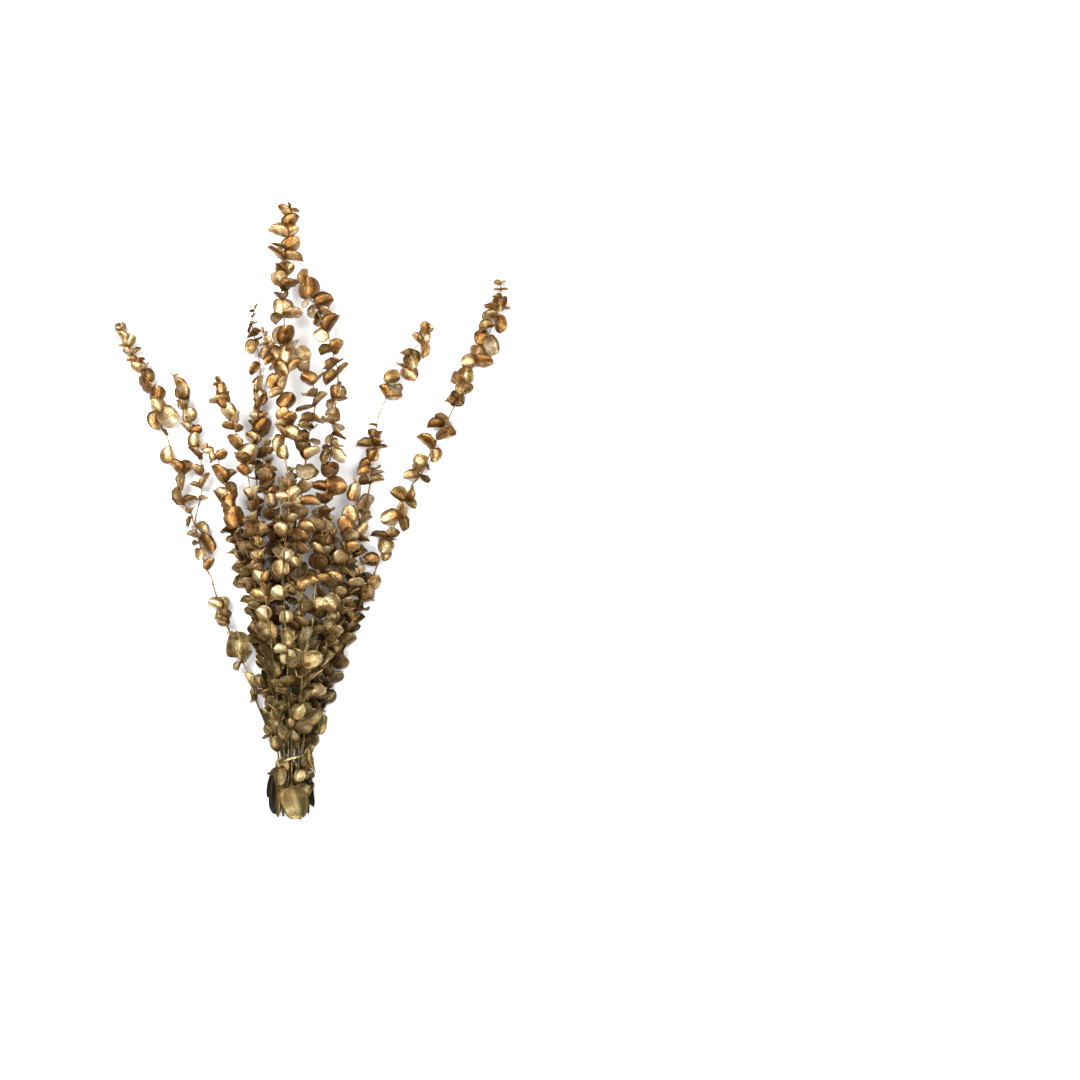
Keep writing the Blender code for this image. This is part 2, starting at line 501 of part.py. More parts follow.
def leaf_rings(leaf, outline, margin=0.0):
    """The four corners of a leaf's blade at each place of its outline, lifted clear of the surface."""
    rings = []
    heading = leaf["heading"].copy()
    middle = leaf["base"].copy()
    reached = 0.0
    for share, width in outline:
        turn = Matrix.Rotation(leaf["bend"] * (share - reached), 3, leaf["across"])
        heading = turn @ heading
        middle = middle + heading * leaf["length"] * (share - reached)
        reached = share
        up = leaf["across"].cross(heading).normalized()
        side = leaf["across"] * (leaf["width"] * width / 2 + margin)
        rise = up * (LEAF_HALF + margin)
        ring = [middle - side + rise, middle + side + rise, middle + side - rise, middle - side - rise]
        sunk = min(0.0, min(p.z for p in ring) + margin)
        rings.append([p - Vector((0, 0, sunk)) for p in ring])
    return rings


def ring_tree(rings):
    """A search tree over the closed skin of a row of rings."""
    points = [p for ring in rings for p in ring]
    faces = [(0, 1, 2, 3), tuple(len(points) - 4 + k for k in range(4))]
    for i in range(len(rings) - 1):
        for k in range(4):
            n = (k + 1) % 4
            faces.append((4 * i + k, 4 * i + n, 4 * i + 4 + n, 4 * i + 4 + k))
    return BVHTree.FromPolygons(points, faces)


def shape_leaf(base, tangent, outward, full_length, give, habit):
    """A leaf that leaves the stem at base. It lies back from the stem by its spread, swings to one side, and
    turns its blade some way towards facing up, as leaves do once the bunch is laid down."""
    spread, swing, facing, bend, size, ratio = habit
    less_spread, more_swing, share = give
    angle = math.radians(max(spread + less_spread, LEAST_SPREAD))
    across = outward.cross(tangent).normalized()
    heading = (tangent * math.cos(angle) + outward * math.sin(angle)).normalized()
    up = across.cross(heading)
    heading = Matrix.Rotation(math.radians(swing + more_swing), 3, up) @ heading
    across = heading.cross(up).normalized()
    level = heading.cross(Vector((0, 0, 1)))
    if level.length > LEAST_SLANT:
        level.normalize()
        if level.dot(across) < 0:
            level.negate()
        roll = math.atan2(across.cross(level).dot(heading), across.dot(level))
        across = Matrix.Rotation(roll * facing, 3, heading) @ across
    length = full_length * size * share
    return dict(base=base, heading=heading, across=across, bend=math.radians(bend), length=length,
                width=length * ratio)


def seen_heading(sight, full_length, more_pitch=0.0):
    """A seen leaf's true length, and the way it points once its pitch makes it look as long as it is seen."""
    pointing, long, _ = sight
    seen = abs(long) * PIXEL
    length = max(seen, min(full_length, seen * MOST_SHORTENED))
    pitch = math.copysign(math.acos(seen / length), long) + math.radians(more_pitch)
    flat = Matrix.Rotation(math.radians(pointing), 3, "Z")
    return length, flat @ Vector((math.cos(pitch), 0, math.sin(pitch)))


def seen_leaf(base, tangent, outward, full_length, sight, give):
    """A leaf that looks as long and as wide from above as it is seen. Of the ways to roll its blade, it takes
    the one whose inner face is turned most towards the stem's tip."""
    more_pitch, more_roll, share = give
    length, heading = seen_heading(sight, full_length, more_pitch)
    seen = sight[2] * PIXEL
    width = max(seen, min(length * LEAF_RATIO, seen * MOST_NARROWED))
    roll = math.acos(seen / width) + math.radians(more_roll)
    level = Vector((0, 0, 1)).cross(heading).normalized()
    along = tangent.dot(heading)
    inner = tangent * math.sqrt(max(0.0, 1 - along * along)) - outward * along
    turns = (roll, -roll, math.pi + roll, math.pi - roll)
    sides = [Matrix.Rotation(turn, 3, heading) @ level for turn in turns]
    across = max(sides, key=lambda side: side.cross(heading).dot(inner))
    return dict(base=base, heading=heading, across=across, bend=0.0,
                length=length * share, width=width * share)


def choose_walls(here, pair, headings):
    """The walls of the tube at a leaf pair that suit its leaves best, one for each leaf."""
    ways = [way_out(here, pair, face) for face in range(4)]
    fits = itertools.permutations(range(4), len(headings))
    return max(fits, key=lambda faces: sum(ways[f].dot(heading) for f, heading in zip(faces, headings)))


def set_leaf(middle, length, width, pointing, slope_across, slope_along):
    """A leaf of the tied end, from its blade's middle and the way it points."""
    flat = Matrix.Rotation(math.radians(pointing), 3, "Z")
    flat = flat @ Matrix.Rotation(math.radians(-slope_along), 3, "Y")
    flat = flat @ Matrix.Rotation(math.radians(slope_across), 3, "X")
    heading = flat @ Vector((1, 0, 0))
    across = flat @ Vector((0, -1, 0))
    return dict(base=middle - heading * length * 0.5, heading=heading, across=across, bend=0.0, length=length,
                width=width)


def stem_routes():
    """Every stem's route from its cut end, through the strand, to its tip."""
    routes = {}
    for name, stem in STEMS.items():
        across, up = stem["slot"]
        tie = place((*TIE_AT, 0)) + Vector((across, 0, up)) * MM
        cut = place((TIE_AT[0], stem["cut"], 0)) + Vector((across * 0.9, 0, up)) * MM
        routes[name] = Route([cut, tie, *[place(p) for p in stem["route"]]])
    parent = routes[TWIG["parent"]]
    fork = parent.at(parent.reach(TWIG["fork"]))[0]
    routes["twig"] = Route([fork, *[place(p) for p in TWIG["route"]]])
    return routes


def tube_rings(route, pairs, first_turn):
    """The rings of a stem's tube: its cut end, and one each side of every leaf pair."""
    rings = [tube_ring(route, 0.0, first_turn)]
    for i, (s, _) in enumerate(pairs):
        turn = first_turn + TWIST_PER_PAIR * i
        rings += [tube_ring(route, where, turn) for where in (s - COLLAR, s + COLLAR)]
    return rings


def way_out(here, pair, face):
    """The direction that a wall of the tube faces at a leaf pair."""
    _, tangent, normal = here["route"].at(here["pairs"][pair][0])
    angle = math.radians(here["first_turn"] + TWIST_PER_PAIR * pair + 90 * face + 90)
    return normal * math.cos(angle) + tangent.cross(normal) * math.sin(angle)


def grow_plan():
    """Where every leaf goes. Leaves are set one by one and give way to those already there."""
    routes = stem_routes()
    plan = {}
    tubes = {}
    for number, name in enumerate(routes):
        route = routes[name]
        stem = STEMS.get(name, TWIG)
        start = TWIG_START if name == "twig" else CUT_START
        bare = (*stem.get("bare", ()), TIE_ROWS)
        set_at = [route.reach(leaf[1]) for leaf in SET_LEAVES if leaf[0] == name]
        pairs, first_turn = pair_places(route, number + 1, bare, start, set_at, SEEN_LEAVES.get(name, ()))
        plan[name] = dict(route=route, pairs=pairs, first_turn=first_turn, leaves={})
        tubes[name] = ring_tree(tube_rings(route, pairs, first_turn))
    loop = strand_path()
    square = [Vector(v) * TIE_RADIUS for v in ((1, 1, 1), (-1, 1, 1), (-1, -1, -1), (1, -1, -1))]
    tubes["strand"] = ring_tree([[point + arm for arm in square] for point in loop + loop[:1]])
    placed = []

    def clear(leaf, own, room):
        rings = leaf_rings(leaf, OUTLINE, room)
        whole, outer = ring_tree(rings), ring_tree(rings[1:])
        middle = (rings[2][0] + rings[2][2]) / 2
        for name, tube in tubes.items():
            if name != own and whole.overlap(tube):
                return False
        if ring_tree(leaf_rings(leaf, OUTLINE)[2:]).overlap(tubes[own]):
            return False
        for other_name, other_middle, other_length, other_whole, other_outer in placed:
            if (middle - other_middle).length < (leaf["length"] + other_length) * NEAR_SHARE:
                if other_name == own and outer.overlap(other_outer):
                    return False
                if other_name != own and whole.overlap(other_whole):
                    return False
        return True

    def keep(leaf, own, foot=None):
        rings = leaf_rings(leaf, OUTLINE)
        if foot:
            rings[:2] = [foot]
        middle = (rings[-3][0] + rings[-3][2]) / 2
        placed.append((own, middle, leaf["length"], ring_tree(rings), ring_tree(rings[1:])))

    for name, row, middle, length, width, pointing, across, along in SET_LEAVES:
        here = plan[name]
        s = here["route"].reach(row)
        pair = min(range(len(here["pairs"])), key=lambda i: abs(here["pairs"][i][0] - s))
        leaf = set_leaf(place(middle), length * MM, width * MM, pointing, across, along)
        free = [face for face in range(4) if (pair, face) not in here["leaves"]]
        face = max(free, key=lambda f: way_out(here, pair, f).z)
        here["leaves"][(pair, face)] = leaf
        keep(leaf, name, tube_ring(here["route"], s, here["first_turn"]))

    waiting = []
    for name, here in plan.items():
        stem_leaf = STEMS.get(name, TWIG)["leaf"] * MM * SEEN_SHARE
        for i, (s, sights) in enumerate(here["pairs"]):
            if sights in (True, False):
                continue
            full = stem_leaf * age_at(here["route"].length - s)
            faces = choose_walls(here, i, [seen_heading(sight, full)[1] for sight in sights])
            waiting += [(name, i, face, sight, full) for face, sight in zip(faces, sights)]
    waiting.sort(key=lambda entry: -abs(entry[3][1] * entry[3][2]))
    for name, i, face, sight, full in waiting:
        here = plan[name]
        route, s = here["route"], here["pairs"][i][0]
        middle, tangent, _ = route.at(s)
        outward = way_out(here, i, face)
        base = middle + outward * radius_at(route, s) * LEAF_FOOT
        for give in SEEN_GIVE_WAY:
            leaf = seen_leaf(base, tangent, outward, full, sight, give)
            if leaf["heading"].dot(outward) > MOST_BEHIND and clear(leaf, name, SEEN_CLEARANCE):
                here["leaves"][(i, face)] = leaf
                keep(leaf, name)
                break

    tie_y = place((*TIE_AT, 0)).y
    for number, (name, here) in enumerate(plan.items()):
        route = here["route"]
        stem_leaf = STEMS.get(name, TWIG)["leaf"] * MM
        rng = random.Random(100 + number)
        for i in reversed(range(len(here["pairs"]))):
            s, leafy = here["pairs"][i]
            from_tip = route.length - s
            age = age_at(from_tip)
            middle, tangent, _ = route.at(s)
            for face in (i % 2, i % 2 + 2):
                squeeze = SQUEEZE * max(0.0, 1 - abs(middle.y - tie_y) / SQUEEZE_REACH)
                spread = SPREAD_BELOW if from_tip > SPREAD_TIP_REACH else SPREAD_AT_TIP
                values = (
                    rng.uniform(*spread) * (1 - squeeze),
                    rng.uniform(*SWING),
                    rng.uniform(*FACING),
                    rng.uniform(*BEND),
                    age * rng.uniform(*SIZE),
                    LEAF_RATIO * rng.uniform(*BREADTH),
                )
                if leafy is not True or (i, face) in here["leaves"]:
                    continue
                outward = way_out(here, i, face)
                base = middle + outward * radius_at(route, s) * LEAF_FOOT
                for give in GIVE_WAY:
                    leaf = shape_leaf(base, tangent, outward, stem_leaf, give, values)
                    if clear(leaf, name, CLEARANCE):
                        here["leaves"][(i, face)] = leaf
                        keep(leaf, name)
                        break
    return plan


def draw_out(bm, face, ring, heading):
    """Extrude one face so that its corners land on a ring's without twisting. Returns the end and walls."""
    face.normal_update()
    turn = face.normal.rotation_difference(heading)
    centre = face.calc_center_median()
    ring_centre = sum(ring, Vector()) / 4
    arms = [turn @ (loop.vert.co - centre) for loop in face.loops]
    shift = max(range(4), key=lambda s: sum(arms[k].dot(ring[(k + s) % 4] - ring_centre) for k in range(4)))
    end = bmesh.ops.extrude_discrete_faces(bm, faces=[face])["faces"][0]
    walls = [None] * 4
    for k, loop in enumerate(end.loops):
        loop.vert.co = ring[(k + shift) % 4]
        walls[(k + shift) % 4] = next(f for f in loop.edge.link_faces if f is not end)
    return end, walls


def start_tube(bm, first, second):
    """The first length of a tube: a box with its two ends at the given rings."""
    box = bmesh.ops.create_cube(bm, size=2.0)["verts"]
    spots = {tuple(round(c) for c in vert.co): vert for vert in box}
    for k, (x, y) in enumerate(((-1, -1), (1, -1), (1, 1), (-1, 1))):
        spots[x, y, -1].co = first[k]
        spots[x, y, 1].co = second[k]
    far = {vert for spot, vert in spots.items() if spot[2] > 0}
    return next(face for face in bm.faces if set(face.verts) == far)


def draw_leaf(bm, face, leaf):
    """Draw a wall of a tube out to a blade's widest place, and from there to its pointed tip."""
    widest, tip = leaf_rings(leaf, (WIDEST, (1.0, 0.0)))
    end, _ = draw_out(bm, face, widest, leaf["heading"])
    point = bmesh.ops.poke(bm, faces=[end])["verts"][0]
    point.co = sum(tip, Vector()) / 4


def make_object(name, bm, colour):
    """Turn a bmesh into a named object with its own paint."""
    bmesh.ops.recalc_face_normals(bm, faces=bm.faces)
    mesh = bpy.data.meshes.new(name)
    bm.to_mesh(mesh)
    bm.free()
    thing = bpy.data.objects.new(name, mesh)
    bpy.context.scene.collection.objects.link(thing)
    mesh.materials.append(paint(name + "_paint", colour))
    return thing


def paint(name, colour):
    """Metallic gold paint on a dry leaf."""
    material = bpy.data.materials.new(name)
    material.use_nodes = True
    shader = material.node_tree.nodes["Principled BSDF"]
    shader.inputs["Base Color"].default_value = colour
    shader.inputs["Metallic"].default_value = 0.7
    shader.inputs["Roughness"].default_value = 0.45
    return material


def grow_tube(bm, here, end=None):
    """Grow a stem's tube through its leaf pairs, then draw its leaves out of its walls."""
    route, pairs = here["route"], here["pairs"]
    sleeves = []
    for i, (s, _) in enumerate(pairs):
        for where in (s - COLLAR, s + COLLAR):
            ring = tube_ring(route, where, here["first_turn"] + TWIST_PER_PAIR * i)
            if end is None:
                end = start_tube(bm, tube_ring(route, 0.0, here["first_turn"]), ring)
            else:
                end, walls = draw_out(bm, end, ring, route.at(where)[1])
        sleeves.append(walls)
    for (pair, face), leaf in here["leaves"].items():
        draw_leaf(bm, sleeves[pair][face], leaf)
    return sleeves


def strand_path():
    """The strand's loop: pulled taut round the outer stems, and slanting up to the right."""
    slots = [Vector(stem["slot"]) * MM for stem in STEMS.values()]
    reach = STEM_RADIUS_CUT + TIE_GAP + TIE_RADIUS
    middle = place((*TIE_AT, 0))
    path = []
    for k in range(TIE_POINTS):
        angle = 2 * math.pi * k / TIE_POINTS
        way = Vector((math.cos(angle), math.sin(angle)))
        point = max(slots, key=lambda slot: slot.dot(way)) + way * reach
        path.append(middle + Vector((point.x, TIE_SLOPE * point.x, point.y)))
    return path


def make_strand():
    """The tie strand, a closed loop of round cord."""
    curve = bpy.data.curves.new("tie_strand", "CURVE")
    curve.dimensions = "3D"
    curve.bevel_depth = TIE_RADIUS
    curve.bevel_resolution = 1
    spline = curve.splines.new("POLY")
    spline.points.add(TIE_POINTS - 1)
    spline.use_cyclic_u = True
    for spot, point in zip(spline.points, strand_path()):
        spot.co = (*point, 1)
    thing = bpy.data.objects.new("tie_strand", curve)
    bpy.context.scene.collection.objects.link(thing)
    curve.materials.append(paint("tie_strand_paint", STRAND_GOLD))
    return thing


def fork_wall(plan):
    """The leaf pair and the wall of the far left stem that its side twig grows from."""
    here = plan[TWIG["parent"]]
    twig = plan["twig"]["route"]
    forks = [(here["route"].at(s)[0] - twig.points[0]).length for s, _ in here["pairs"]]
    pair = forks.index(min(forks))
    free = [face for face in range(4) if (pair, face) not in here["leaves"]]
    return pair, max(free, key=lambda f: way_out(here, pair, f).dot(twig.tangents[4]))


def build():
    """Clear the scene, then grow every stem and tie the bunch."""
    for thing in list(bpy.data.objects):
        bpy.data.objects.remove(thing, do_unlink=True)
    plan = grow_plan()
    for name in STEMS:
        bm = bmesh.new()
        sleeves = grow_tube(bm, plan[name])
        if name == TWIG["parent"]:
            fork, face = fork_wall(plan)
            grow_tube(bm, plan["twig"], sleeves[fork][face])
        make_object(name, bm, GOLD)
    make_strand()


build()
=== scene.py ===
import itertools
import json
import math
import random

import bmesh
import bpy
from mathutils import Matrix, Vector
from mathutils.bvhtree import BVHTree
from mathutils.kdtree import KDTree

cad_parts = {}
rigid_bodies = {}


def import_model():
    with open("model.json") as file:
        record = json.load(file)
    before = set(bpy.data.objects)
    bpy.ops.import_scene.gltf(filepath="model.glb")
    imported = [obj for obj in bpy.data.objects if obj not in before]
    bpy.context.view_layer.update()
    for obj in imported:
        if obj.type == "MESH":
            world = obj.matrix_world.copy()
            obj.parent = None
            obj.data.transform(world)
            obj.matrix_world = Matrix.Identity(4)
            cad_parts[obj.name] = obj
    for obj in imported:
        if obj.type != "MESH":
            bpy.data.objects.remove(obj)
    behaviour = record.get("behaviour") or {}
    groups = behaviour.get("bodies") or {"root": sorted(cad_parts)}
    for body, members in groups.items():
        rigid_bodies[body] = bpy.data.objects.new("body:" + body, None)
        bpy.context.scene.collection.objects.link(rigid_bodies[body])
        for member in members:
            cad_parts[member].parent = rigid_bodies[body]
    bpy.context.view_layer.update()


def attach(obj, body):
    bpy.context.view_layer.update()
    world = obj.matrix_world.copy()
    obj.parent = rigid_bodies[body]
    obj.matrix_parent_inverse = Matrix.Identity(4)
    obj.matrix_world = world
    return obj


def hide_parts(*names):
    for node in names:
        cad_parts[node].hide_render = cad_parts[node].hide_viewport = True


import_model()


# The stems. Sixteen stems of a small round-leaved eucalyptus, one with a side twig, are fanned out from where
# they are tied, and laid flat. Each is a thin round twig, cut square at its lower end. Its route is measured
# in the photograph, where a place that is higher over the surface is seen larger.
MM = 0.001
BUNCH_LENGTH = 0.700
SPAN_IN_PIXELS = 611.5
PIXEL = BUNCH_LENGTH / SPAN_IN_PIXELS
CENTRE_PIXEL = (313.4, 510.4)
FRAME_PIXELS = 1080
FRAME_MIDDLE = FRAME_PIXELS / 2
LENS = 150
SENSOR = 36
VIEW_HEIGHT = FRAME_PIXELS * LENS / SENSOR * PIXEL
TIE_AT = (293.0, 757.0)
CUT_CLOSING = 0.9
STEM_RADIUS_CUT = 1.6 * MM
STEM_RADIUS_TIP = 0.65 * MM
TAPER_LENGTH = 450 * MM
ROUTE_STEP = 2.0 * MM
CURVE_STEPS = 24
TANGENT_SPAN = 2
END_ROOM = 1.001
LEAST_CLIMB = 0.1

# Each stem: where it passes the strand (across, up, in millimetres), its leaf length in millimetres, the
# pixel row of its cut end, the stretches with no leaves (pixel rows), and its route upwards from the strand
# (pixels across and down the photograph, then millimetres above the surface)
STEMS = {
    "stem_left_slender": dict(slot=(-8, 27.5), leaf=15, cut=806, bare=((476, 494),), route=(
        (281, 738, 30), (277, 700, 44), (272, 650, 60), (266, 600, 70), (258, 540, 74), (252, 500, 70),
        (248, 476, 66), (244, 463, 63), (240, 450, 60), (237, 436, 57), (234, 426, 54), (231, 416, 51),
        (229, 405, 48), (225, 395, 46), (220, 385, 44), (217, 376, 42))),
    "stem_centre": dict(slot=(0, 27.5), leaf=15.5, cut=798, bare=((455, 480), (606, 640)), route=(
        (291, 738, 30), (289, 702, 45), (288, 680, 55), (287, 650, 66), (285, 622, 74), (284, 600, 78),
        (283, 575, 82), (285, 545, 84), (289, 505, 84), (288, 475, 80), (285, 458, 78), (284, 440, 75),
        (285, 422, 72), (283, 406, 69), (283, 392, 65), (281, 381, 62), (276, 370, 60), (275, 360, 57),
        (271, 350, 54), (268, 343, 52), (265, 335, 50), (264, 330, 49))),
    "stem_tallest": dict(slot=(8, 27.5), leaf=20, cut=809, route=(
        (299, 738, 30), (301, 700, 43), (303, 650, 60), (302, 600, 72), (299, 550, 76), (301, 500, 74),
        (305, 468, 71), (307, 445, 69), (310, 430, 67), (315, 406, 64), (313, 384, 62), (303, 363, 59),
        (292, 352, 57), (285, 343, 55), (284, 317, 51), (281.5, 288, 46), (284, 255, 41), (286.5, 237, 38),
        (285.5, 228, 36), (288, 217, 34), (289.5, 205, 32))),
    "stem_left_short": dict(slot=(-12, 20), leaf=16, cut=812, route=(
        (277, 738, 22), (272, 700, 30), (268, 655, 40), (262, 620, 48), (256, 590, 53), (249, 560, 56),
        (240, 530, 56), (230, 505, 54), (225, 485, 52), (221, 470, 50), (217, 458, 48), (213, 453, 47),
        (205, 449, 46))),
    "stem_right_tall": dict(slot=(12, 20), leaf=18.5, cut=803, route=(
        (304, 738, 22), (308, 700, 32), (311, 650, 45), (314, 600, 55), (320, 550, 58), (326, 500, 57),
        (328, 475, 56), (331, 452, 54), (334, 425, 51), (336, 400, 48), (338, 374, 45), (335, 361, 43),
        (330, 341, 41), (325, 325, 38), (316, 305, 35), (309, 298, 33), (303, 283, 31), (304, 269, 30))),
    "stem_far_left": dict(slot=(-12, 5), leaf=14.5, cut=816, bare=(
        (433, 446), (566, 606), (702, 730)), route=(
        (278, 744, 7), (270, 733, 8), (262, 715, 10), (256, 700, 12), (252, 686, 13), (247, 672, 14),
        (243, 663, 14), (239, 655, 15), (233, 640, 15), (227, 625, 15), (224, 614, 15), (219, 603, 15),
        (214, 588, 15), (211, 577, 14), (206, 568, 14), (203, 556, 14), (199, 540, 14), (196, 528, 14),
        (193, 520, 14), (190, 512, 14), (184, 503, 14), (181, 492, 14), (183, 480, 14), (181, 472, 13),
        (173, 461, 13), (170, 447, 12), (167, 437, 12), (162, 428, 12), (160, 412, 11), (154, 400, 11),
        (149, 391, 10), (147, 382, 10), (143, 371, 10), (136, 361, 9), (133, 354, 9), (128, 347, 9),
        (125, 341, 8), (122, 331, 8), (119, 324, 8))),
    "stem_far_right": dict(slot=(12, 5), leaf=17, cut=805, route=(
        (309, 738, 7), (318, 705, 11), (331, 668, 15), (347, 632, 16), (364, 596, 16), (372, 579, 16),
        (382, 553, 16), (389, 538, 16), (398, 516, 16), (403, 501, 16), (409, 493, 16), (412, 485, 16),
        (421, 474, 16), (428, 458, 15), (436, 441, 15), (444, 427, 15), (454, 407, 14), (460, 393, 14),
        (469, 374, 13), (478, 355, 13), (484, 343, 12), (490, 331, 12), (497, 316, 11), (500, 305, 10),
        (501, 295, 10), (500, 282, 9))),
    "stem_right": dict(slot=(4, 5), leaf=16.5, cut=811, bare=((402, 428),), route=(
        (300, 738, 7), (308, 700, 11), (322, 655, 15), (337, 618, 16), (348, 585, 17), (355, 555, 18),
        (358, 540, 18), (361, 520, 18), (367, 500, 18), (370, 483, 18), (370, 472, 18), (373, 455, 17),
        (375, 435, 17), (379, 415, 16), (385, 401, 16), (394, 385, 15), (404, 368, 14), (409, 356, 13),
        (415, 348, 12), (420, 342, 11), (426, 332, 10), (427, 324, 10))),
    "stem_centre_left": dict(slot=(-4, 5), leaf=13.5, cut=800, route=(
        (288, 738, 7), (281, 700, 12), (272, 650, 17), (264, 600, 20), (259, 550, 22), (257, 500, 22),
        (257, 465, 21), (258, 440, 21), (260, 425, 20), (259, 408, 20), (261, 385, 19), (260, 370, 18),
        (259, 358, 17), (256, 343, 16), (253, 331, 15), (252, 320, 14), (254, 311, 13), (256, 306, 12))),
    "stem_right_short": dict(slot=(16, 12.5), leaf=16.5, cut=808, route=(
        (309, 738, 15), (314, 700, 24), (322, 660, 34), (334, 620, 41), (342, 580, 44), (347, 545, 44),
        (353, 515, 43), (355, 500, 42), (355, 481, 41))),
    "stem_inner_short": dict(slot=(4, 20), leaf=14, cut=800, route=(
        (296, 738, 21), (297, 700, 29), (296, 650, 42), (294, 600, 50), (292, 555, 53), (291, 515, 53),
        (290, 490, 52), (292, 470, 50))),
    "stem_inner_left": dict(slot=(-8, 12.5), leaf=15, cut=805, route=(
        (284, 738, 15), (279, 700, 22), (275, 650, 32), (277, 600, 38), (276, 550, 41), (271, 505, 42),
        (267, 470, 42), (268, 442, 41))),
    "stem_inner_centre": dict(slot=(-4, 20), leaf=14, cut=813, route=(
        (288, 738, 21), (285, 700, 28), (282, 650, 39), (281, 610, 46), (283, 565, 50), (284, 530, 51),
        (285, 505, 52))),
    "stem_low_left": dict(slot=(-16, 12.5), leaf=16, cut=801, route=(
        (275, 738, 15), (270, 700, 21), (264, 655, 28), (258, 620, 32), (252, 592, 33), (243, 562, 32),
        (234, 532, 30), (226, 506, 28))),
    "stem_low_right": dict(slot=(8, 12.5), leaf=16.5, cut=804, route=(
        (303, 738, 15), (309, 700, 22), (322, 655, 29), (338, 615, 34), (352, 585, 35), (363, 560, 34))),
    "stem_low_centre": dict(slot=(0, 12.5), leaf=16, cut=810, route=(
        (294, 738, 15), (299, 700, 22), (308, 650, 32), (318, 610, 38), (326, 575, 40), (329, 545, 40),
        (330, 520, 38))),
}

# The side twig of the far left stem: where it forks, its leaf length, and its route
TWIG = dict(parent="stem_far_left", fork=525, leaf=13, route=(
    (196, 516, 16), (198, 508, 18), (201, 497, 20), (202, 486, 21), (202, 475, 21), (201, 462, 21),
    (199, 452, 20), (196, 445, 19), (193, 436, 18), (191, 430, 17), (188, 420, 16), (184, 409, 15),
    (181, 399, 14), (177, 388, 13), (174, 377, 12), (170, 371, 11)))
GROWING = {**STEMS, "twig": TWIG}


def place(point):
    """A route point as a place over the surface, in metres. The higher a place is, the larger it is seen, so
    it is drawn in towards the middle of the picture."""
    height = point[2] * MM
    nearer = 1 - height / VIEW_HEIGHT
    across, down = (FRAME_MIDDLE + (pixel - FRAME_MIDDLE) * nearer for pixel in point[:2])
    return Vector(((across - CENTRE_PIXEL[0]) * PIXEL, (CENTRE_PIXEL[1] - down) * PIXEL, height))


def seen_row(spot):
    """The pixel row of the photograph that a place is seen on."""
    down = CENTRE_PIXEL[1] - spot.y / PIXEL
    return FRAME_MIDDLE + (down - FRAME_MIDDLE) / (1 - spot.z / VIEW_HEIGHT)


def catmull_rom(a, b, c, d, t):
    """A point on the smooth curve between b and c."""
    square = 2 * a - 5 * b + 4 * c - d
    cube = 3 * b - a - 3 * c + d
    return 0.5 * (2 * b + (c - a) * t + square * t * t + cube * t ** 3)


def smooth_route(points):
    """Evenly spaced points along the smooth curve through the given ones."""
    ends = [points[0] * 2 - points[1], *points, points[-1] * 2 - points[-2]]
    fine = []
    for i in range(len(points) - 1):
        fine += [catmull_rom(*ends[i:i + 4], k / CURVE_STEPS) for k in range(CURVE_STEPS)]
    fine.append(points[-1])
    route = [fine[0]]
    for point in fine[1:]:
        gap = (point - route[-1]).length
        while gap >= ROUTE_STEP:
            route.append(route[-1].lerp(point, ROUTE_STEP / gap))
            gap = (point - route[-1]).length
    return route


class Route:
    """A stem's middle line with a frame carried along it without twisting."""

    def __init__(self, points):
        self.points = smooth_route(points)
        self.length = (len(self.points) - 1) * ROUTE_STEP
        self.tangents = []
        self.normals = []
        normal = Vector((0, 0, 1))
        last = len(self.points) - 1
        for i in range(last + 1):
            ahead, behind = self.points[min(i + TANGENT_SPAN, last)], self.points[max(i - TANGENT_SPAN, 0)]
            tangent = (ahead - behind).normalized()
            normal = (normal - tangent * normal.dot(tangent)).normalized()
            self.tangents.append(tangent)
            self.normals.append(normal)

    def at(self, s):
        """Middle, direction and normal at a distance from the cut end."""
        f = min(max(s / ROUTE_STEP, 0), len(self.points) - END_ROOM)
        i = int(f)
        middle = self.points[i].lerp(self.points[i + 1], f - i)
        tangent = self.tangents[i].lerp(self.tangents[i + 1], f - i).normalized()
        normal = self.normals[i].lerp(self.normals[i + 1], f - i)
        return middle, tangent, (normal - tangent * normal.dot(tangent)).normalized()

    def reach(self, row):
        """The distance along the stem at which it crosses a pixel row."""
        rows = [seen_row(point) for point in self.points]
        for i in range(1, len(rows)):
            if rows[i] <= row:
                past = (row - rows[i]) / max(rows[i - 1] - rows[i], LEAST_CLIMB)
                return (i - past) * ROUTE_STEP
        return self.length


def stem_routes():
    """Every stem's route from its cut end, through the strand, to its tip."""
    routes = {}
    for name, stem in STEMS.items():
        across, up = stem["slot"]
        tie = place((*TIE_AT, 0)) + Vector((across, 0, up)) * MM
        cut = place((TIE_AT[0], stem["cut"], 0)) + Vector((across * CUT_CLOSING, 0, up)) * MM
        routes[name] = Route([cut, tie, *[place(point) for point in stem["route"]]])
    parent = routes[TWIG["parent"]]
    fork = parent.at(parent.reach(TWIG["fork"]))[0]
    routes["twig"] = Route([fork, *[place(point) for point in TWIG["route"]]])
    return routes


def radius_at(route, s):
    """The stem is thickest at its cut end and thins towards its tip."""
    share = min(max((route.length - s) / TAPER_LENGTH, 0), 1)
    return STEM_RADIUS_TIP + (STEM_RADIUS_CUT - STEM_RADIUS_TIP) * share


# The leaf pairs. Leaves grow in opposite pairs, and the stem is slightly swollen there. Most pairs are where
# they are seen in the photograph, and the others fill its gaps, closer together near the growing tip.
TIP_LEFT = 1.5 * MM
LEAST_SPACING = 1.8 * MM
OPEN_GAP = 38 * MM
SPACING_AT_TIP = 9.0 * MM
SPACING_BELOW = 14.5 * MM
SPACING_REACH = 80 * MM
SPACING_SHARE = (0.85, 1.15)
SET_ROOM = 6 * MM
CUT_START = 8 * MM
TWIG_START = 14 * MM
TIE_ROWS = (751, 763)

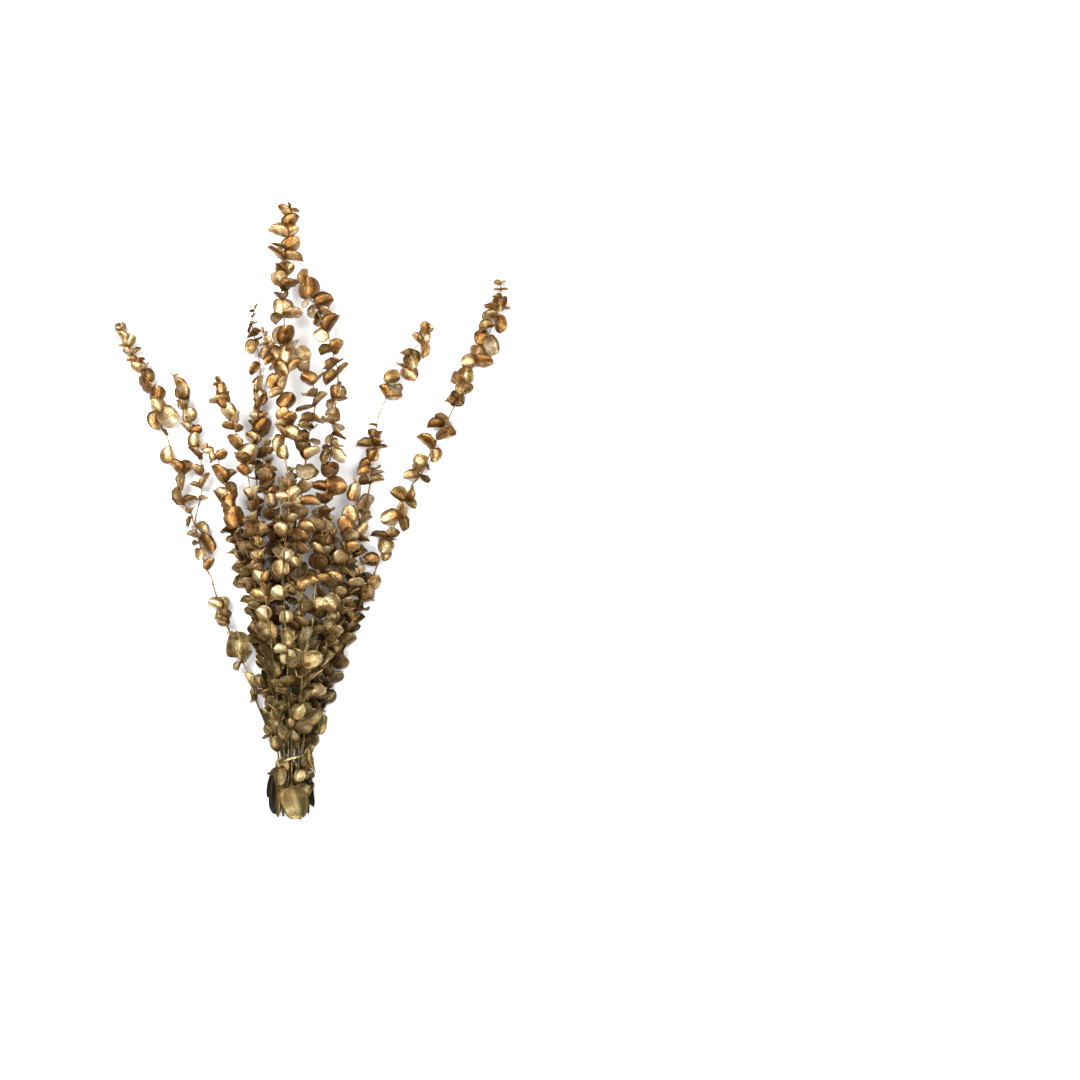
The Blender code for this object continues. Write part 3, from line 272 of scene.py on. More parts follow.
# Leaves that are seen one by one, for each stem from its tip down: the pixel row where they grow, then for
# each leaf the way it points (degrees from +X) and its length and width as seen (pixels). A length below zero
# is a leaf whose tip leans down
SEEN_LEAVES = {
    "stem_tallest": (
        (207, (95, 5, 1.5)), (211, (-5, 10, 4), (165, 6, 2)), (217, (132, 14, 9)),
        (227, (40, 16, 12), (160, 9, 1.5)), (237, (162, 18, 9), (42, 14, 8)),
        (249, (38, 16, 14), (160, 13, 3)), (260, (142, 19, 7), (-3, 18, 6)),
        (276, (88, 13, 9), (50, 15, 12), (115, 12, 6)), (285, (100, 13, 15)),
        (289, (22, 17, 8), (128, 18, 2.5)), (300, (-90, 15, 18), (90, -7, 13)),
        (317, (133, 22, 5), (12, 17, 7), (-130, 10, 8)), (327, (-92, 17, 18)), (343, (78, 20, 12)),
        (346, (-88, 18, 18)), (350, (60, 9, 7)), (357, (10, 13, 15)), (365, (-155, 15, 6)),
        (372, (80, 11, 8)), (384, (140, 14, 11), (172, 15, 3), (46, 15, 3)), (397, (175, 10, 4), (5, 8, 4)),
        (406, (-166, 18, 3), (45, 16, 4)), (421, (172, 10, 8), (-15, 9, 7)),
        (430, (152, 11, 6), (12, 8, 6)), (441, (165, 9, 9), (-25, 9, 5)), (459, (120, 18, 9), (30, 16, 6)),
        (467, (-90, 12, 17)), (611, (110, 20, 7), (65, 14, 10)), (626, (120, 11, 5)), (648, (70, 21, 11)),
        (682, (115, 20, 13), (55, 20, 10)), (703, (48, 19, 6), (20, 14, 6)),
        (719, (120, 16, 9), (60, 17, 12))),
    "stem_right_tall": (
        (283, (75, 14, 9)), (297, (95, 19, 18), (62, 16, 10), (125, 16, 6), (-98, 10, 7)),
        (305, (15, 17, 13), (-95, 12, 5)), (314, (10, 10, 4), (-70, 11, 4), (-108, 11, 2)),
        (331, (52, 18, 12), (-155, 13, 13)), (352, (50, 14, 12), (-162, 11, 5)),
        (364, (-160, 11, 9), (35, 6, 5)), (374, (-135, 15, 9), (62, 15, 4), (45, 14, 6)),
        (386, (-95, 14, 15), (-75, 9, 3)), (401, (25, 9, 6), (-115, 11, 4)), (421, (92, 13, 13)),
        (424, (165, 11, 6), (-50, 9, 6)), (429, (55, 9, 5), (-30, 8, 5)),
        (435, (-22, 12, 4), (-117, 10, 2)), (447, (-145, 5, 3), (10, 8, 6)),
        (452, (-40, 15, 10), (-110, 12, 4)), (463, (-95, 14, 16)), (475, (25, 9, 6)),
        (582, (155, 19, 9), (10, 14, 6)), (612, (25, 16, 12), (150, 12, 8)), (638, (35, 14, 4)),
        (660, (65, 20, 14)), (680, (40, 17, 7), (130, 13, 9))),
    "stem_far_right": (
        (284, (35, 6, 2.5), (165, 6, 3), (110, 5, 2)), (290, (2, 7, 1.5), (178, 7, 1.5)),
        (298, (-90, 13, 13), (176, 8, 2)), (309, (175, 16, 6), (2, 12, 2)),
        (316, (-80, 16, 12), (-170, 14, 9)), (325, (-150, 14, 9)), (337, (-70, 18, 8), (180, 12, 15)),
        (348, (-110, 14, 19), (-158, 13, 8)), (361, (185, 13, 13), (-8, 17, 12)),
        (383, (80, -15, 15), (172, 20, 8), (-48, 16, 3), (-112, 12, 16)),
        (405, (85, -14, 12), (155, 14, 6), (5, 8, 2)), (425, (130, 13, 12), (-10, 7, 3)),
        (428, (180, 15, 5)), (438, (20, 18, 10)), (449, (140, 18, 10), (-80, 12, 10)), (462, (165, 12, 13)),
        (466, (75, -9, 7)), (470, (165, 12, 4), (-150, 9, 7)), (475, (-45, 10, 5), (60, 6, 3)),
        (477.5, (183, 14, 8)), (485, (-170, 12, 2)), (497, (55, 14, 7)), (500, (148, 14, 12), (-35, 13, 6)),
        (516, (72, -15, 11), (-160, 16, 14), (-72, 15, 6)), (538, (45, -11, 9), (140, -7, 6), (172, 17, 6)),
        (541, (-120, 13, 15), (12, 7, 2.5)), (550, (-62, 12, 2), (-85, 10, 7)),
        (562, (178, 14, 12), (-150, 14, 11)), (588, (50, 15, 12), (110, 15, 10))),
    "stem_right": (
        (332, (98, 10, 10), (30, 8, 6)), (342, (62, 13, 11), (135, 11, 8), (165, 8, 2), (-80, 15, 8)),
        (350, (-110, 13, 15)), (357, (155, 9, 6), (-70, 15, 11)), (368, (-50, 15, 14), (150, 7, 3)),
        (377, (190, 14, 12)), (386, (-85, 9, 13)), (397, (128, 13, 10), (8, 14, 8), (178, 13, 4)),
        (426, (170, 8, 1.5)), (441, (115, 12, 7), (48, 12, 4)), (445, (184, 16, 10), (25, 8, 7)),
        (449, (8, 13, 2)), (461, (100, 12, 10), (60, 12, 7)), (463.5, (-150, 11, 6)),
        (470, (-160, 12, 10), (10, 9, 4)), (474, (8, 13, 6)), (482, (-165, 10, 8), (8, 13, 8)),
        (511, (60, -17, 10), (-12, 13, 3), (-60, 9, 7)), (524, (32, 13, 6)), (536, (60, 14, 10)),
        (540, (-5, 11, 7)), (544, (-75, 10, 6))),
    "stem_right_short": (
        (483, (100, 5, 3)), (500, (80, 16, 10)), (521, (100, 15, 13)), (530, (120, 15, 14)),
        (583, (165, 16, 9)), (645, (50, 13, 9)), (668, (45, 19, 8))),
    "stem_centre": (
        (332, (100, 4, 2)), (337, (130, 6, 2), (75, 6, 2), (155, 5, 1.5)), (345, (110, 9, 6), (185, 10, 4)),
        (350, (55, 8, 4), (-125, 12, 6), (-45, 15, 12)), (360, (205, 10, 5)),
        (364, (-50, 15, 11), (-110, 6, 3)), (376, (-120, 14, 13)), (389, (70, 13, 9)), (392, (200, 13, 9)),
        (408, (60, 16, 13)), (420, (100, 12, 13), (140, 13, 5)), (427, (55, 16, 9), (165, 9, 5)),
        (430, (-30, 15, 14)), (437, (-110, 16, 9), (125, 13, 3)), (458, (85, 12, 10)), (574, (95, 14, 15)),
        (598, (60, 12, 8), (140, 14, 10)), (622, (92, 11, 12), (140, 12, 7)), (631, (-90, 13, 12)),
        (652, (165, 12, 9)), (663, (90, 13, 14), (30, 12, 10)), (685, (90, 9, 16)), (693, (170, 14, 7)),
        (703, (112, 14, 10))),
    "stem_centre_left": (
        (308, (60, 5, 1.5)), (312, (165, 4, 2.5)), (317, (170, 4, 2.5), (50, 5, 2.5)),
        (324, (-108, 9, 2), (15, 4, 2)), (336, (45, 8, 6), (-160, 5, 3)),
        (341, (20, 7, 1.5), (-112, 13, 12)), (364, (-125, 13, 8)), (379, (-152, 9, 2), (60, 6, 2)),
        (392, (80, 16, 7), (115, 8, 8)), (405, (105, 16, 8), (60, 13, 5)), (410, (65, 14, 5), (80, 10, 6)),
        (414, (135, 8, 6)), (419, (150, 10, 7), (40, 9, 6)), (434, (125, 16, 9), (55, 17, 12)),
        (443, (140, 14, 11), (100, 9, 6))),
    "stem_left_slender": (
        (377, (110, 4, 2)), (383, (115, 7, 4), (60, 5, 2)), (386, (165, 7, 4)),
        (393, (190, 9, 6), (105, 11, 8)), (404, (178, 19, 6)), (407, (92, 15, 6)),
        (419, (115, 17, 12), (30, 8, 1.5)), (428, (80, 16, 5), (165, 12, 8)), (432, (100, 8, 8)),
        (447, (135, 15, 12), (75, 16, 11)), (463, (125, 18, 12), (60, 19, 15)),
        (600, (150, 16, 12), (50, 13, 8)), (619, (140, 14, 13)), (640, (128, 20, 12)), (656, (140, 14, 11)),
        (676, (115, 20, 14)), (695, (120, 15, 9))),
    "stem_left_short": (
        (449.5, (165, 8, 1.5), (80, 6, 2)), (453, (172, 9, 6), (20, 13, 1.5)),
        (458, (35, 11, 8), (125, 8, 5), (-140, 8, 1.5)), (482, (128, -19, 13), (92, -17, 8), (38, 15, 7)),
        (485, (-55, 16, 10)), (504, (140, 19, 14)), (510, (80, 15, 11)),
        (526, (104, -19, 15), (120, 18, 6)), (530, (-75, 12, 10), (-110, 15, 4)), (617, (130, 17, 14)),
        (672, (140, 16, 9))),
    "stem_far_left": (
        (326, (100, 4, 2)), (330, (100, 7, 10), (165, 7, 3), (0, 5, 2)), (341, (130, 11, 8.5)),
        (346, (72, 12, 11), (178, 8, 2)), (354, (150, 10, 8), (28, 9, 4)), (362, (176, 8, 4.5), (28, 8, 2)),
        (371, (145, 13, 10), (45, 8, 4)), (382, (88, -13, 13), (140, 11, 1.5)),
        (391, (122, 16, 10), (75, 7, 3)), (400, (85, 14, 14), (130, 8, 1.5)),
        (412, (120, 14, 13), (-42, 19, 12), (-88, 17, 8)), (429, (-60, 7, 4), (150, 6, 2)),
        (461, (105, 15, 11), (128, 12, 5)), (472, (135, 14, 11), (40, 13, 11)), (474.5, (-85, 15, 12)),
        (487, (130, 12, 5)), (503, (107, 17, 9), (15, 13, 6)), (513, (145, 11, 5), (60, 6, 4)),
        (517, (-105, 10, 5)), (520, (10, 7, 3)), (526, (-50, 13, 8)), (535, (175, 10, 7)),
        (538, (-50, 19, 10)), (543, (-150, 5, 2)), (549, (-85, 11, 11)), (570, (60, 12, 8)),
        (624, (100, -18, 15), (148, 14, 8), (62, 15, 7)), (640, (68, 17, 8), (115, 14, 9)),
        (655, (98, -22, 20), (150, 11, 6)), (662, (50, 13, 8), (-110, 8, 4)),
        (686, (115, 14, 8), (55, 10, 3)), (700, (95, 13, 6), (-170, 5, 4)), (735, (-150, 6, 3))),
    "twig": (
        (376, (128, 7, 1.5), (-10, 4, 2)), (398, (107, 21, 6), (75, 12, 7), (45, 7, 4)),
        (409, (75, 15, 10), (132, 11, 4)), (421, (97, 13, 13), (20, 5, 2)),
        (432, (142, 13, 9), (25, 10, 8)), (446, (95, 13, 10), (-35, 9, 2)),
        (459, (137, 16, 3.5), (65, 7, 1.5)), (474, (150, 13, 10), (75, 8, 4)),
        (488, (158, 11, 2), (62, 16, 3.5)), (500, (100, 7, 4), (20, 7, 5), (185, 9, 1.5))),
}

# Leaves listed one by one round the tied end. Each grows from the face of a stem at a pixel row. Its blade's
# middle is given as a route point is, then its length and width in millimetres, the way it points (degrees
# from +X) and the slope of its blade across and along (degrees)
SET_LEAVES = (
    ("stem_centre", 777, (296, 803, 36), 33, 25, -75, 6, -4),
    ("stem_left_slender", 764, (279, 777, 34), 18, 13, -95, -14, -8),
    ("stem_tallest", 740, (313, 760, 38), 24, 9, -78, 34, -6),
    ("stem_left_slender", 783, (277, 800, 31), 36, 6, -88, -50, -6),
    ("stem_centre", 722, (298, 710, 47), 17, 15, 52, 20, 8),
    ("stem_tallest", 722, (313, 713, 45), 18, 15, 40, 42, 0),
    ("stem_right_tall", 735, (322, 724, 32), 20, 8, 75, 30, 0),
    ("stem_left_slender", 745, (283, 731, 41), 16, 14, 110, -18, 6),
    ("stem_tallest", 768, (300, 776, 38), 12, 11, -100, 8, -2),
    ("stem_left_short", 788, (273, 797, 24), 32, 10, -93, -48, 0),
    ("stem_right_tall", 782, (308, 797, 23), 34, 10, -88, 46, 0),
    ("stem_low_left", 775, (270, 786, 14), 24, 11, -100, -30, 0),
    ("stem_right_short", 777, (312, 793, 12), 28, 12, -84, 35, 0),
    ("stem_far_left", 782, (278, 800, 8), 30, 14, -94, 0, 0),
    ("stem_right", 780, (301, 802, 9), 30, 15, -88, 0, 0),
    ("stem_right_tall", 745, (309, 750, 30), 14, 8, 60, 40, 0),
)


def pair_spacing(route, s, rng):
    """The gap from one leaf pair down to the next: short near the tip, where the stem is still growing."""
    ageing = 1 - math.exp(-(route.length - s) / SPACING_REACH)
    return (SPACING_AT_TIP + (SPACING_BELOW - SPACING_AT_TIP) * ageing) * rng.uniform(*SPACING_SHARE)


def pair_places(route, seed, bare, start, set_at, seen):
    """Distances along the stem of its leaf pairs, from the cut end up, and what each bears: leaves of its own
    (True), none (False), or the leaves that are seen there. Also the first pair's turn about the stem."""
    rng = random.Random(seed)
    found = [(s, False) for s in set_at]
    s = route.length - TIP_LEFT

    def fill(s, low):
        if s < route.length - TIP_LEFT:
            s -= pair_spacing(route, s, rng)
        while s > low + LEAST_SPACING:
            row = seen_row(route.at(s)[0])
            leafy = not any(top <= row <= lowest for top, lowest in bare)
            if all(abs(s - other) > SET_ROOM for other in set_at):
                found.append((s, leafy))
            s -= pair_spacing(route, s, rng)

    for row, *sights in seen:
        reach = min(s, route.reach(row))
        if s - reach > OPEN_GAP:
            fill(s, reach)
        found.append((reach, sights))
        s = reach - LEAST_SPACING
    fill(s, start)
    return sorted(found, key=lambda pair: pair[0]), rng.uniform(0, 90)


plan = {}
for number, (name, route) in enumerate(stem_routes().items()):
    start = TWIG_START if name == "twig" else CUT_START
    bare = (*GROWING[name].get("bare", ()), TIE_ROWS)
    set_at = [route.reach(leaf[1]) for leaf in SET_LEAVES if leaf[0] == name]
    pairs, first_turn = pair_places(route, number + 1, bare, start, set_at, SEEN_LEAVES.get(name, ()))
    plan[name] = dict(route=route, pairs=pairs, first_turn=first_turn, leaves={})


# The gold paint. The whole bunch was preserved, then sprayed with a metallic gold paint. It is satin, with a
# fine grain and dark specks where it didn't take, and the leaves' own olive shows through near the tied end.
# It is palest on the leaves' backs and warmest on their inner faces, partly its own tone and partly painted
# light bounced inside the cupped leaves. It is darker along their edges, partly worn and partly painted
# shade.
PALE_GOLD = (0.74, 0.635, 0.43, 1.0)
WARM_GOLD = (0.27, 0.160, 0.042, 1.0)
# The inner faces' tones: the paint's own, warmed by painted light bounced inside the cups
PALE_FACE_AND_BOUNCE = (0.70, 0.55, 0.31, 1.0)
WARM_FACE_AND_BOUNCE = (0.26, 0.11, 0.018, 1.0)
BROWN_GOLD = (0.085, 0.031, 0.0045, 1.0)
OLIVE = (0.075, 0.072, 0.024, 1.0)
# Near-black where the tone is deepest: partly bare, dried leaf and partly painted shade between the leaves
DRIED_AND_SHADE = (0.013, 0.009, 0.003, 1.0)
KHAKI_GOLD = (0.56, 0.49, 0.24, 1.0)
KHAKI_BROWN = (0.075, 0.050, 0.012, 1.0)
WORN_AND_SHADED_EDGE = (0.055, 0.032, 0.010, 1.0)
SPECK = (0.06, 0.034, 0.014, 1.0)

# The unevenness of the spray, from the broadest to the finest, and how high the finer two stand
CLOUD = dict(Scale=85.0, Detail=4.0, Roughness=0.6)
MOTTLE = dict(Scale=380.0, Detail=3.0, Roughness=0.65)
SPECKS = dict(Scale=620.0, Detail=3.0, Roughness=0.75)
GRAIN = dict(Scale=1500.0, Detail=2.0, Roughness=0.7)
MOTTLE_RISE = 0.8
GRAIN_RISE = 0.5
BUMP = dict(Strength=0.5, Distance=0.0004)

# How deep the tone is, and what it turns to: where each change starts, where it is full, and how much it is
# then. LOW_DEPTHS, KHAKI and OLIVE_PLACE go by the place along the bunch, in metres from its middle
CLOUD_DEPTH = (0.40, 0.62)
MOTTLE_DEPTH = (0.40, 0.60, 0.5)
WHOLE_DEPTH = (0.3, 1.95)
WARM = (0.0, 0.62)
BROWN = (0.58, 1.0)
UNPAINTED_AND_SHADE = (2.2, 3.1)
OLIVE_CLOUD = (0.44, 0.56)
LOW_DEPTHS = ((-0.10, -0.25, 0.25), (-0.24, -0.32, 0.35))
KHAKI = (0.02, -0.22, 0.65)
OLIVE_PLACE = (-0.02, -0.27)
OLIVE_SHARE = 0.8

# A leaf's side veins and midrib: how they are laid out, and how pale and how high each is. Then the painted
# shade that browns its foot where it meets the stem, and its darker edge, partly worn and partly painted
# shade
VEIN_SLANT = 0.9
VEIN_WOBBLE = 0.3
VEIN_TURNS = 52.0
VEIN = (0.75, 1.0)
VEIN_LOOK = (0.06, 0.12)
RIB = (0.03, 0.008)
RIB_LOOK = (0.12, 0.35)
FOOT_SHADE_CLOUD = 0.5
FOOT_SHADE = (0.72, 0.28, 0.8)
# How the edge darkens, partly wear and partly painted shade
EDGE_MOTTLE = 0.40
EDGE = (0.70, 1.20, 0.5)
WORN_AND_SHADED = (0.98, 1.20, 0.75)

# Thin paint, the specks it missed, and how the specks and the near-black of bare, dried leaf and painted
# shade change its shine
THIN = (0.42, 0.60, 0.65)
THIN_DEPTH = (0.9, 0.3)
MISSED = (0.60, 0.70)
MISSED_MORE = 0.05
MISSED_SHARE = 0.7
METAL = 0.85
MISSED_METAL = 0.4
DRIED_METAL = (1.0, 0.0)
DRIED_SHINE = (1.6, -1.0)
MOTTLE_ROUGH = 0.3
MISSED_ROUGH = 0.3


class Paint:
    """A material's nodes. A value is a number, a colour or another node's output."""

    def __init__(self, name):
        self.material = bpy.data.materials.new(name)
        self.material.use_nodes = True
        self.shader = self.material.node_tree.nodes["Principled BSDF"]

    def feed(self, socket, value):
        """Set a socket, or join a node's output to it."""
        if isinstance(value, bpy.types.NodeSocket):
            self.material.node_tree.links.new(value, socket)
        else:
            socket.default_value = value

    def add(self, kind, **values):
        """Add a shader node, with its settings and its sockets' values by name."""
        node = self.material.node_tree.nodes.new("ShaderNode" + kind)
        for name, value in values.items():
            if name in node.inputs:
                self.feed(node.inputs[name], value)
            else:
                setattr(node, name, value)
        return node

    def mix(self, factor, first, second):
        """Blend two colours."""
        node = self.add("Mix", data_type="RGBA")
        for socket, value in ((0, factor), (6, first), (7, second)):
            self.feed(node.inputs[socket], value)
        return node.outputs[2]

    def ramp(self, value, start, full, most=1.0):
        """Stretch a value between two limits to the range from 0 to the most."""
        limits = {"From Min": start, "From Max": full, "To Max": most}
        return self.add("MapRange", Value=value, **limits).outputs["Result"]

    def maths(self, operation, first, second=0.0):
        """Arithmetic on one or two values."""
        node = self.add("Math", operation=operation)
        self.feed(node.inputs[0], first)
        self.feed(node.inputs[1], second)
        return node.outputs[0]

    def plus(self, first, second):
        """The sum of two values."""
        return self.maths("ADD", first, second)

    def times(self, first, second):
        """The product of two values."""
        return self.maths("MULTIPLY", first, second)

    def layer(self, name):
        """A value that the piece's points carry."""
        return self.add("Attribute", attribute_name=name).outputs["Fac"]


def gold_paint(name, light, deep, veined, speckled, polish):
    """Gold paint over a leaf or a stem, from its light tone through its deep one to brown."""
    paint = Paint(name)
    mix, ramp, plus, times = paint.mix, paint.ramp, paint.plus, paint.times
    spot = paint.add("TexCoord").outputs["Object"]
    along = paint.add("SeparateXYZ", Vector=spot).outputs["Y"]
    noises = [paint.add("TexNoise", Vector=spot, **noise) for noise in (CLOUD, MOTTLE, SPECKS, GRAIN)]
    cloud, mottle, speck, grain = (noise.outputs["Fac"] for noise in noises)

    depth = plus(paint.layer("tint"), ramp(cloud, *CLOUD_DEPTH))
    depth = plus(depth, ramp(mottle, *MOTTLE_DEPTH))
    for limits in LOW_DEPTHS:
        depth = plus(depth, ramp(along, *limits))
    # Past its deepest the tone turns near-black, partly bare dried leaf and partly painted shade
    unpainted_and_shade = ramp(depth, *UNPAINTED_AND_SHADE)
    depth = ramp(depth, *WHOLE_DEPTH)
    colour = mix(ramp(depth, *WARM), light, deep)
    colour = mix(ramp(depth, *BROWN), colour, BROWN_GOLD)
    colour = mix(ramp(along, *KHAKI), colour, mix(depth, KHAKI_GOLD, KHAKI_BROWN))
    green = times(ramp(along, *OLIVE_PLACE), ramp(cloud, *OLIVE_CLOUD))
    green = paint.maths("MAXIMUM", green, paint.layer("olive"))
    colour = mix(times(green, OLIVE_SHARE), colour, OLIVE)

    height = plus(times(grain, GRAIN_RISE), times(mottle, MOTTLE_RISE))
    if veined:
        blade = paint.add("SeparateXYZ", Vector=paint.add("UVMap", uv_map="leaf").outputs["UV"]).outputs
        side = paint.maths("ABSOLUTE", paint.maths("SUBTRACT", blade["X"], 0.5))
        slant = paint.maths("SUBTRACT", blade["Y"], times(side, VEIN_SLANT))
        bands = times(plus(slant, times(cloud, VEIN_WOBBLE)), VEIN_TURNS)
        veins = ramp(paint.maths("SINE", bands), *VEIN)
        for line, (pale, rise) in ((veins, VEIN_LOOK), (ramp(side, *RIB), RIB_LOOK)):
            colour = mix(times(line, pale), colour, light)
            height = plus(height, times(line, rise))
        # Painted shade: the leaf turns browner towards its foot, where it meets the stem
        foot = ramp(plus(blade["Y"], times(cloud, FOOT_SHADE_CLOUD)), *FOOT_SHADE)
        colour = mix(foot, colour, BROWN_GOLD)
        # Darker edges, partly wear and partly painted shade
        edge = plus(paint.layer("edge"), times(mottle, EDGE_MOTTLE))
        colour = mix(ramp(edge, *EDGE), colour, deep)
        colour = mix(ramp(edge, *WORN_AND_SHADED), colour, WORN_AND_SHADED_EDGE)

    thin = times(ramp(speck, *THIN), ramp(depth, *THIN_DEPTH))
    missed = ramp(speck, *(limit - MISSED_MORE * speckled for limit in MISSED))
    colour = mix(times(missed, MISSED_SHARE), mix(thin, colour, deep), SPECK)
    metal = paint.maths("SUBTRACT", METAL, times(missed, MISSED_METAL))
    rough = plus(times(mottle, MOTTLE_ROUGH), polish)
    looks = {
        "Base Color": mix(unpainted_and_shade, colour, DRIED_AND_SHADE),
        "Metallic": times(metal, ramp(unpainted_and_shade, *DRIED_METAL)),
        "Specular IOR Level": ramp(unpainted_and_shade, *DRIED_SHINE),
        "Roughness": plus(rough, times(missed, MISSED_ROUGH)),
        "Normal": paint.add("Bump", Height=height, **BUMP).outputs["Normal"],
    }
    for socket, value in looks.items():
        paint.feed(paint.shader.inputs[socket], value)
    return paint.material


# Each paint's light and deep tone, whether it has veins, how speckled it is, and how rough
outer_paint = gold_paint("gilded_leaf_back", PALE_GOLD, WARM_GOLD, True, 1.0, 0.35)
# The inner face is warmer partly by its paint and partly by painted bounce light
inner_paint_and_bounce = gold_paint("gilded_leaf_face_and_bounce", PALE_FACE_AND_BOUNCE, WARM_FACE_AND_BOUNCE, True, 0.3, 0.25)
bark_paint = gold_paint("gilded_bark", PALE_GOLD, WARM_GOLD, False, 1.4, 0.32)


# The wood of the stems. Each is a round tube along its route, with a ring every few millimetres and at each
# leaf pair. It is grown in one piece, painted over, and about a quarter thinner than its plain solid.
STEM_SIDES = 8
RING_STEP = 3.0 * MM
SWELLING = 0.35
SWELL_REACH = 1.6 * MM
STEM_SHARE = 0.74
TIP_SHARE = 0.4
BARK_TINTS = (0.5, 1.2)
BARK_SEED = 500


def grow_wood(bm, here):
    """Draw a round tube along a stem's route, from its cut end to its tip."""
    route = here["route"]
    pairs = [s for s, _ in here["pairs"]]
    steps = round(route.length / RING_STEP)
    stops = sorted([route.length * i / steps for i in range(steps + 1)] + pairs)
    circle = bmesh.ops.create_circle(bm, cap_ends=True, segments=STEM_SIDES, radius=1.0)["verts"]
    edges = list(circle[0].link_faces[0].edges)
    angles = [2 * math.pi * k / STEM_SIDES for k in range(STEM_SIDES)]
    ring = {vert: k for k, vert in enumerate(circle)}
    for i, s in enumerate(stops):
        if i:
            grown = bmesh.ops.extrude_edge_only(bm, edges=edges)["geom"]
            below = ring
            ring = {}
            for vert in (part for part in grown if isinstance(part, bmesh.types.BMVert)):
                mates = (edge.other_vert(vert) for edge in vert.link_edges)
                ring[vert] = next(below[mate] for mate in mates if mate in below)
            edges = [part for part in grown if isinstance(part, bmesh.types.BMEdge)]
            edges = [edge for edge in edges if all(vert in ring for vert in edge.verts)]
        middle, tangent, normal = route.at(s)
        side = tangent.cross(normal)
        swell = max(0.0, 1 - min(abs(s - pair) for pair in pairs) / SWELL_REACH)
        radius = STEM_SHARE * radius_at(route, s) * (1 + SWELLING * swell)
        if i == len(stops) - 1:
            radius *= TIP_SHARE
        for vert, k in ring.items():
            vert.co = middle + (normal * math.cos(angles[k]) + side * math.sin(angles[k])) * radius
    bmesh.ops.edgeloop_fill(bm, edges=edges)


def tint_all(bm, tint):
    """Give every point of a piece the tint that its paint reads."""
    layer = bm.verts.layers.float.new("tint")
    for vert in bm.verts:
        vert[layer] = tint


def add_object(name, data):
    """Put a mesh, a light or a camera in the scene."""
    added = bpy.data.objects.new(name, data)
    bpy.context.scene.collection.objects.link(added)
    return added


def add_mesh(name, bm, paints):
    """Put a finished shape in the scene, under its paints."""
    mesh = bpy.data.meshes.new(name)
    bm.to_mesh(mesh)
    bm.free()
    for paint in paints:
        mesh.materials.append(paint)
    return add_object(name, mesh)


def finish_piece(name, bm, paints, node):
    """Turn a shape into a smooth piece that stands for its plain solid."""
    piece = add_mesh(name, bm, paints)
    piece.data.shade_smooth()
    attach(piece, "root")
    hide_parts(node)
    return piece


for number, name in enumerate(STEMS):
    bm = bmesh.new()
    grow_wood(bm, plan[name])
    if name == TWIG["parent"]:
        grow_wood(bm, plan["twig"])
    bmesh.ops.recalc_face_normals(bm, faces=bm.faces)
    tint_all(bm, random.Random(BARK_SEED + number).uniform(*BARK_TINTS))
    piece = finish_piece(name + "_wood", bm, [bark_paint], name)


# The leaves. They are round, about as wide as long, with a short point, a midrib and side veins. They sit on
# the stem without stalks, cupped and curled by drying, and are stiff with paint. Each is set where it is
# seen, or grown by its habit, and gives way to those already there.
TWIST_PER_PAIR = 17.0
COLLAR = 0.6 * MM
LEAF_HALF = 0.4 * MM
CLEARANCE = 0.5 * MM
SEEN_CLEARANCE = 0.4 * MM
LEAF_RATIO = 0.95
YOUNG_REACH = 32 * MM
YOUNG_SHARE = 0.42
LEAF_FOOT = 0.7
LEAST_SPREAD = 12
LEAST_SLANT = 0.2
NEAR_SHARE = 0.75

# Outline of a leaf: how far along it, and how wide there, as shares of its length and width
OUTLINE = ((0.0, 0.2), (0.12, 0.55), (0.45, 1.0), (0.8, 0.76), (1.0, 0.2))

# A leaf's habit, each drawn between two values: its spread from the stem (degrees), near the tip and below
# it, its swing sideways (degrees), how far its blade turns to face up (a share), its bend (degrees), and its
# size and width (shares of the stem's own). Near the strand, its spread is squeezed
SPREAD_AT_TIP = (20, 45)
SPREAD_BELOW = (28, 78)
SPREAD_TIP_REACH = 20 * MM
SWING = (-16, 16)
FACING = (0.0, 0.85)
BEND = (-50, 45)
SIZE = (0.84, 1.16)
BREADTH = (0.8, 1.12)
SQUEEZE = 0.65
SQUEEZE_REACH = 115 * MM
HABIT_SEED = 100

# How a leaf gives way to its neighbours: more or less spread and swing (degrees), and a share of its size
GIVE_WAY = (
    (0, 0, 1.0), (-12, 14, 1.0), (10, -16, 1.0), (-24, 0, 0.95), (-18, 26, 0.9), (-18, -26, 0.9),
    (-34, 8, 0.85), (16, 20, 0.8), (-40, -14, 0.75), (-30, 30, 0.7),
)

# How a leaf that is seen gives way: more or less pitch and roll (degrees), and a share of its size
SEEN_GIVE_WAY = (
    (0, 0, 1.0), (8, 0, 1.0), (-8, 0, 1.0), (0, 15, 1.0), (0, -15, 1.0), (16, 0, 1.0), (-16, 0, 1.0),
    (12, 18, 0.97), (12, -18, 0.97), (-12, 18, 0.97), (-12, -18, 0.97), (26, 0, 0.95), (-26, 0, 0.95),
    (22, 22, 0.9), (22, -22, 0.9), (-22, 22, 0.9), (-22, -22, 0.9), (38, 0, 0.85), (-38, 0, 0.85),
    (0, 0, 0.8), (10, 20, 0.75), (10, -20, 0.75), (-10, 20, 0.7), (-10, -20, 0.7), (30, 30, 0.7),
    (-30, -30, 0.7),
)
SEEN_SHARE = 0.8
MOST_SHORTENED = 1.9
MOST_NARROWED = 3.6
MOST_BEHIND = -0.25

# The strand's middle line, which leaves keep clear of
TIE_RADIUS = 0.9 * MM
TIE_GAP = 0.9 * MM
TIE_SLOPE = 0.26
TIE_POINTS = 40


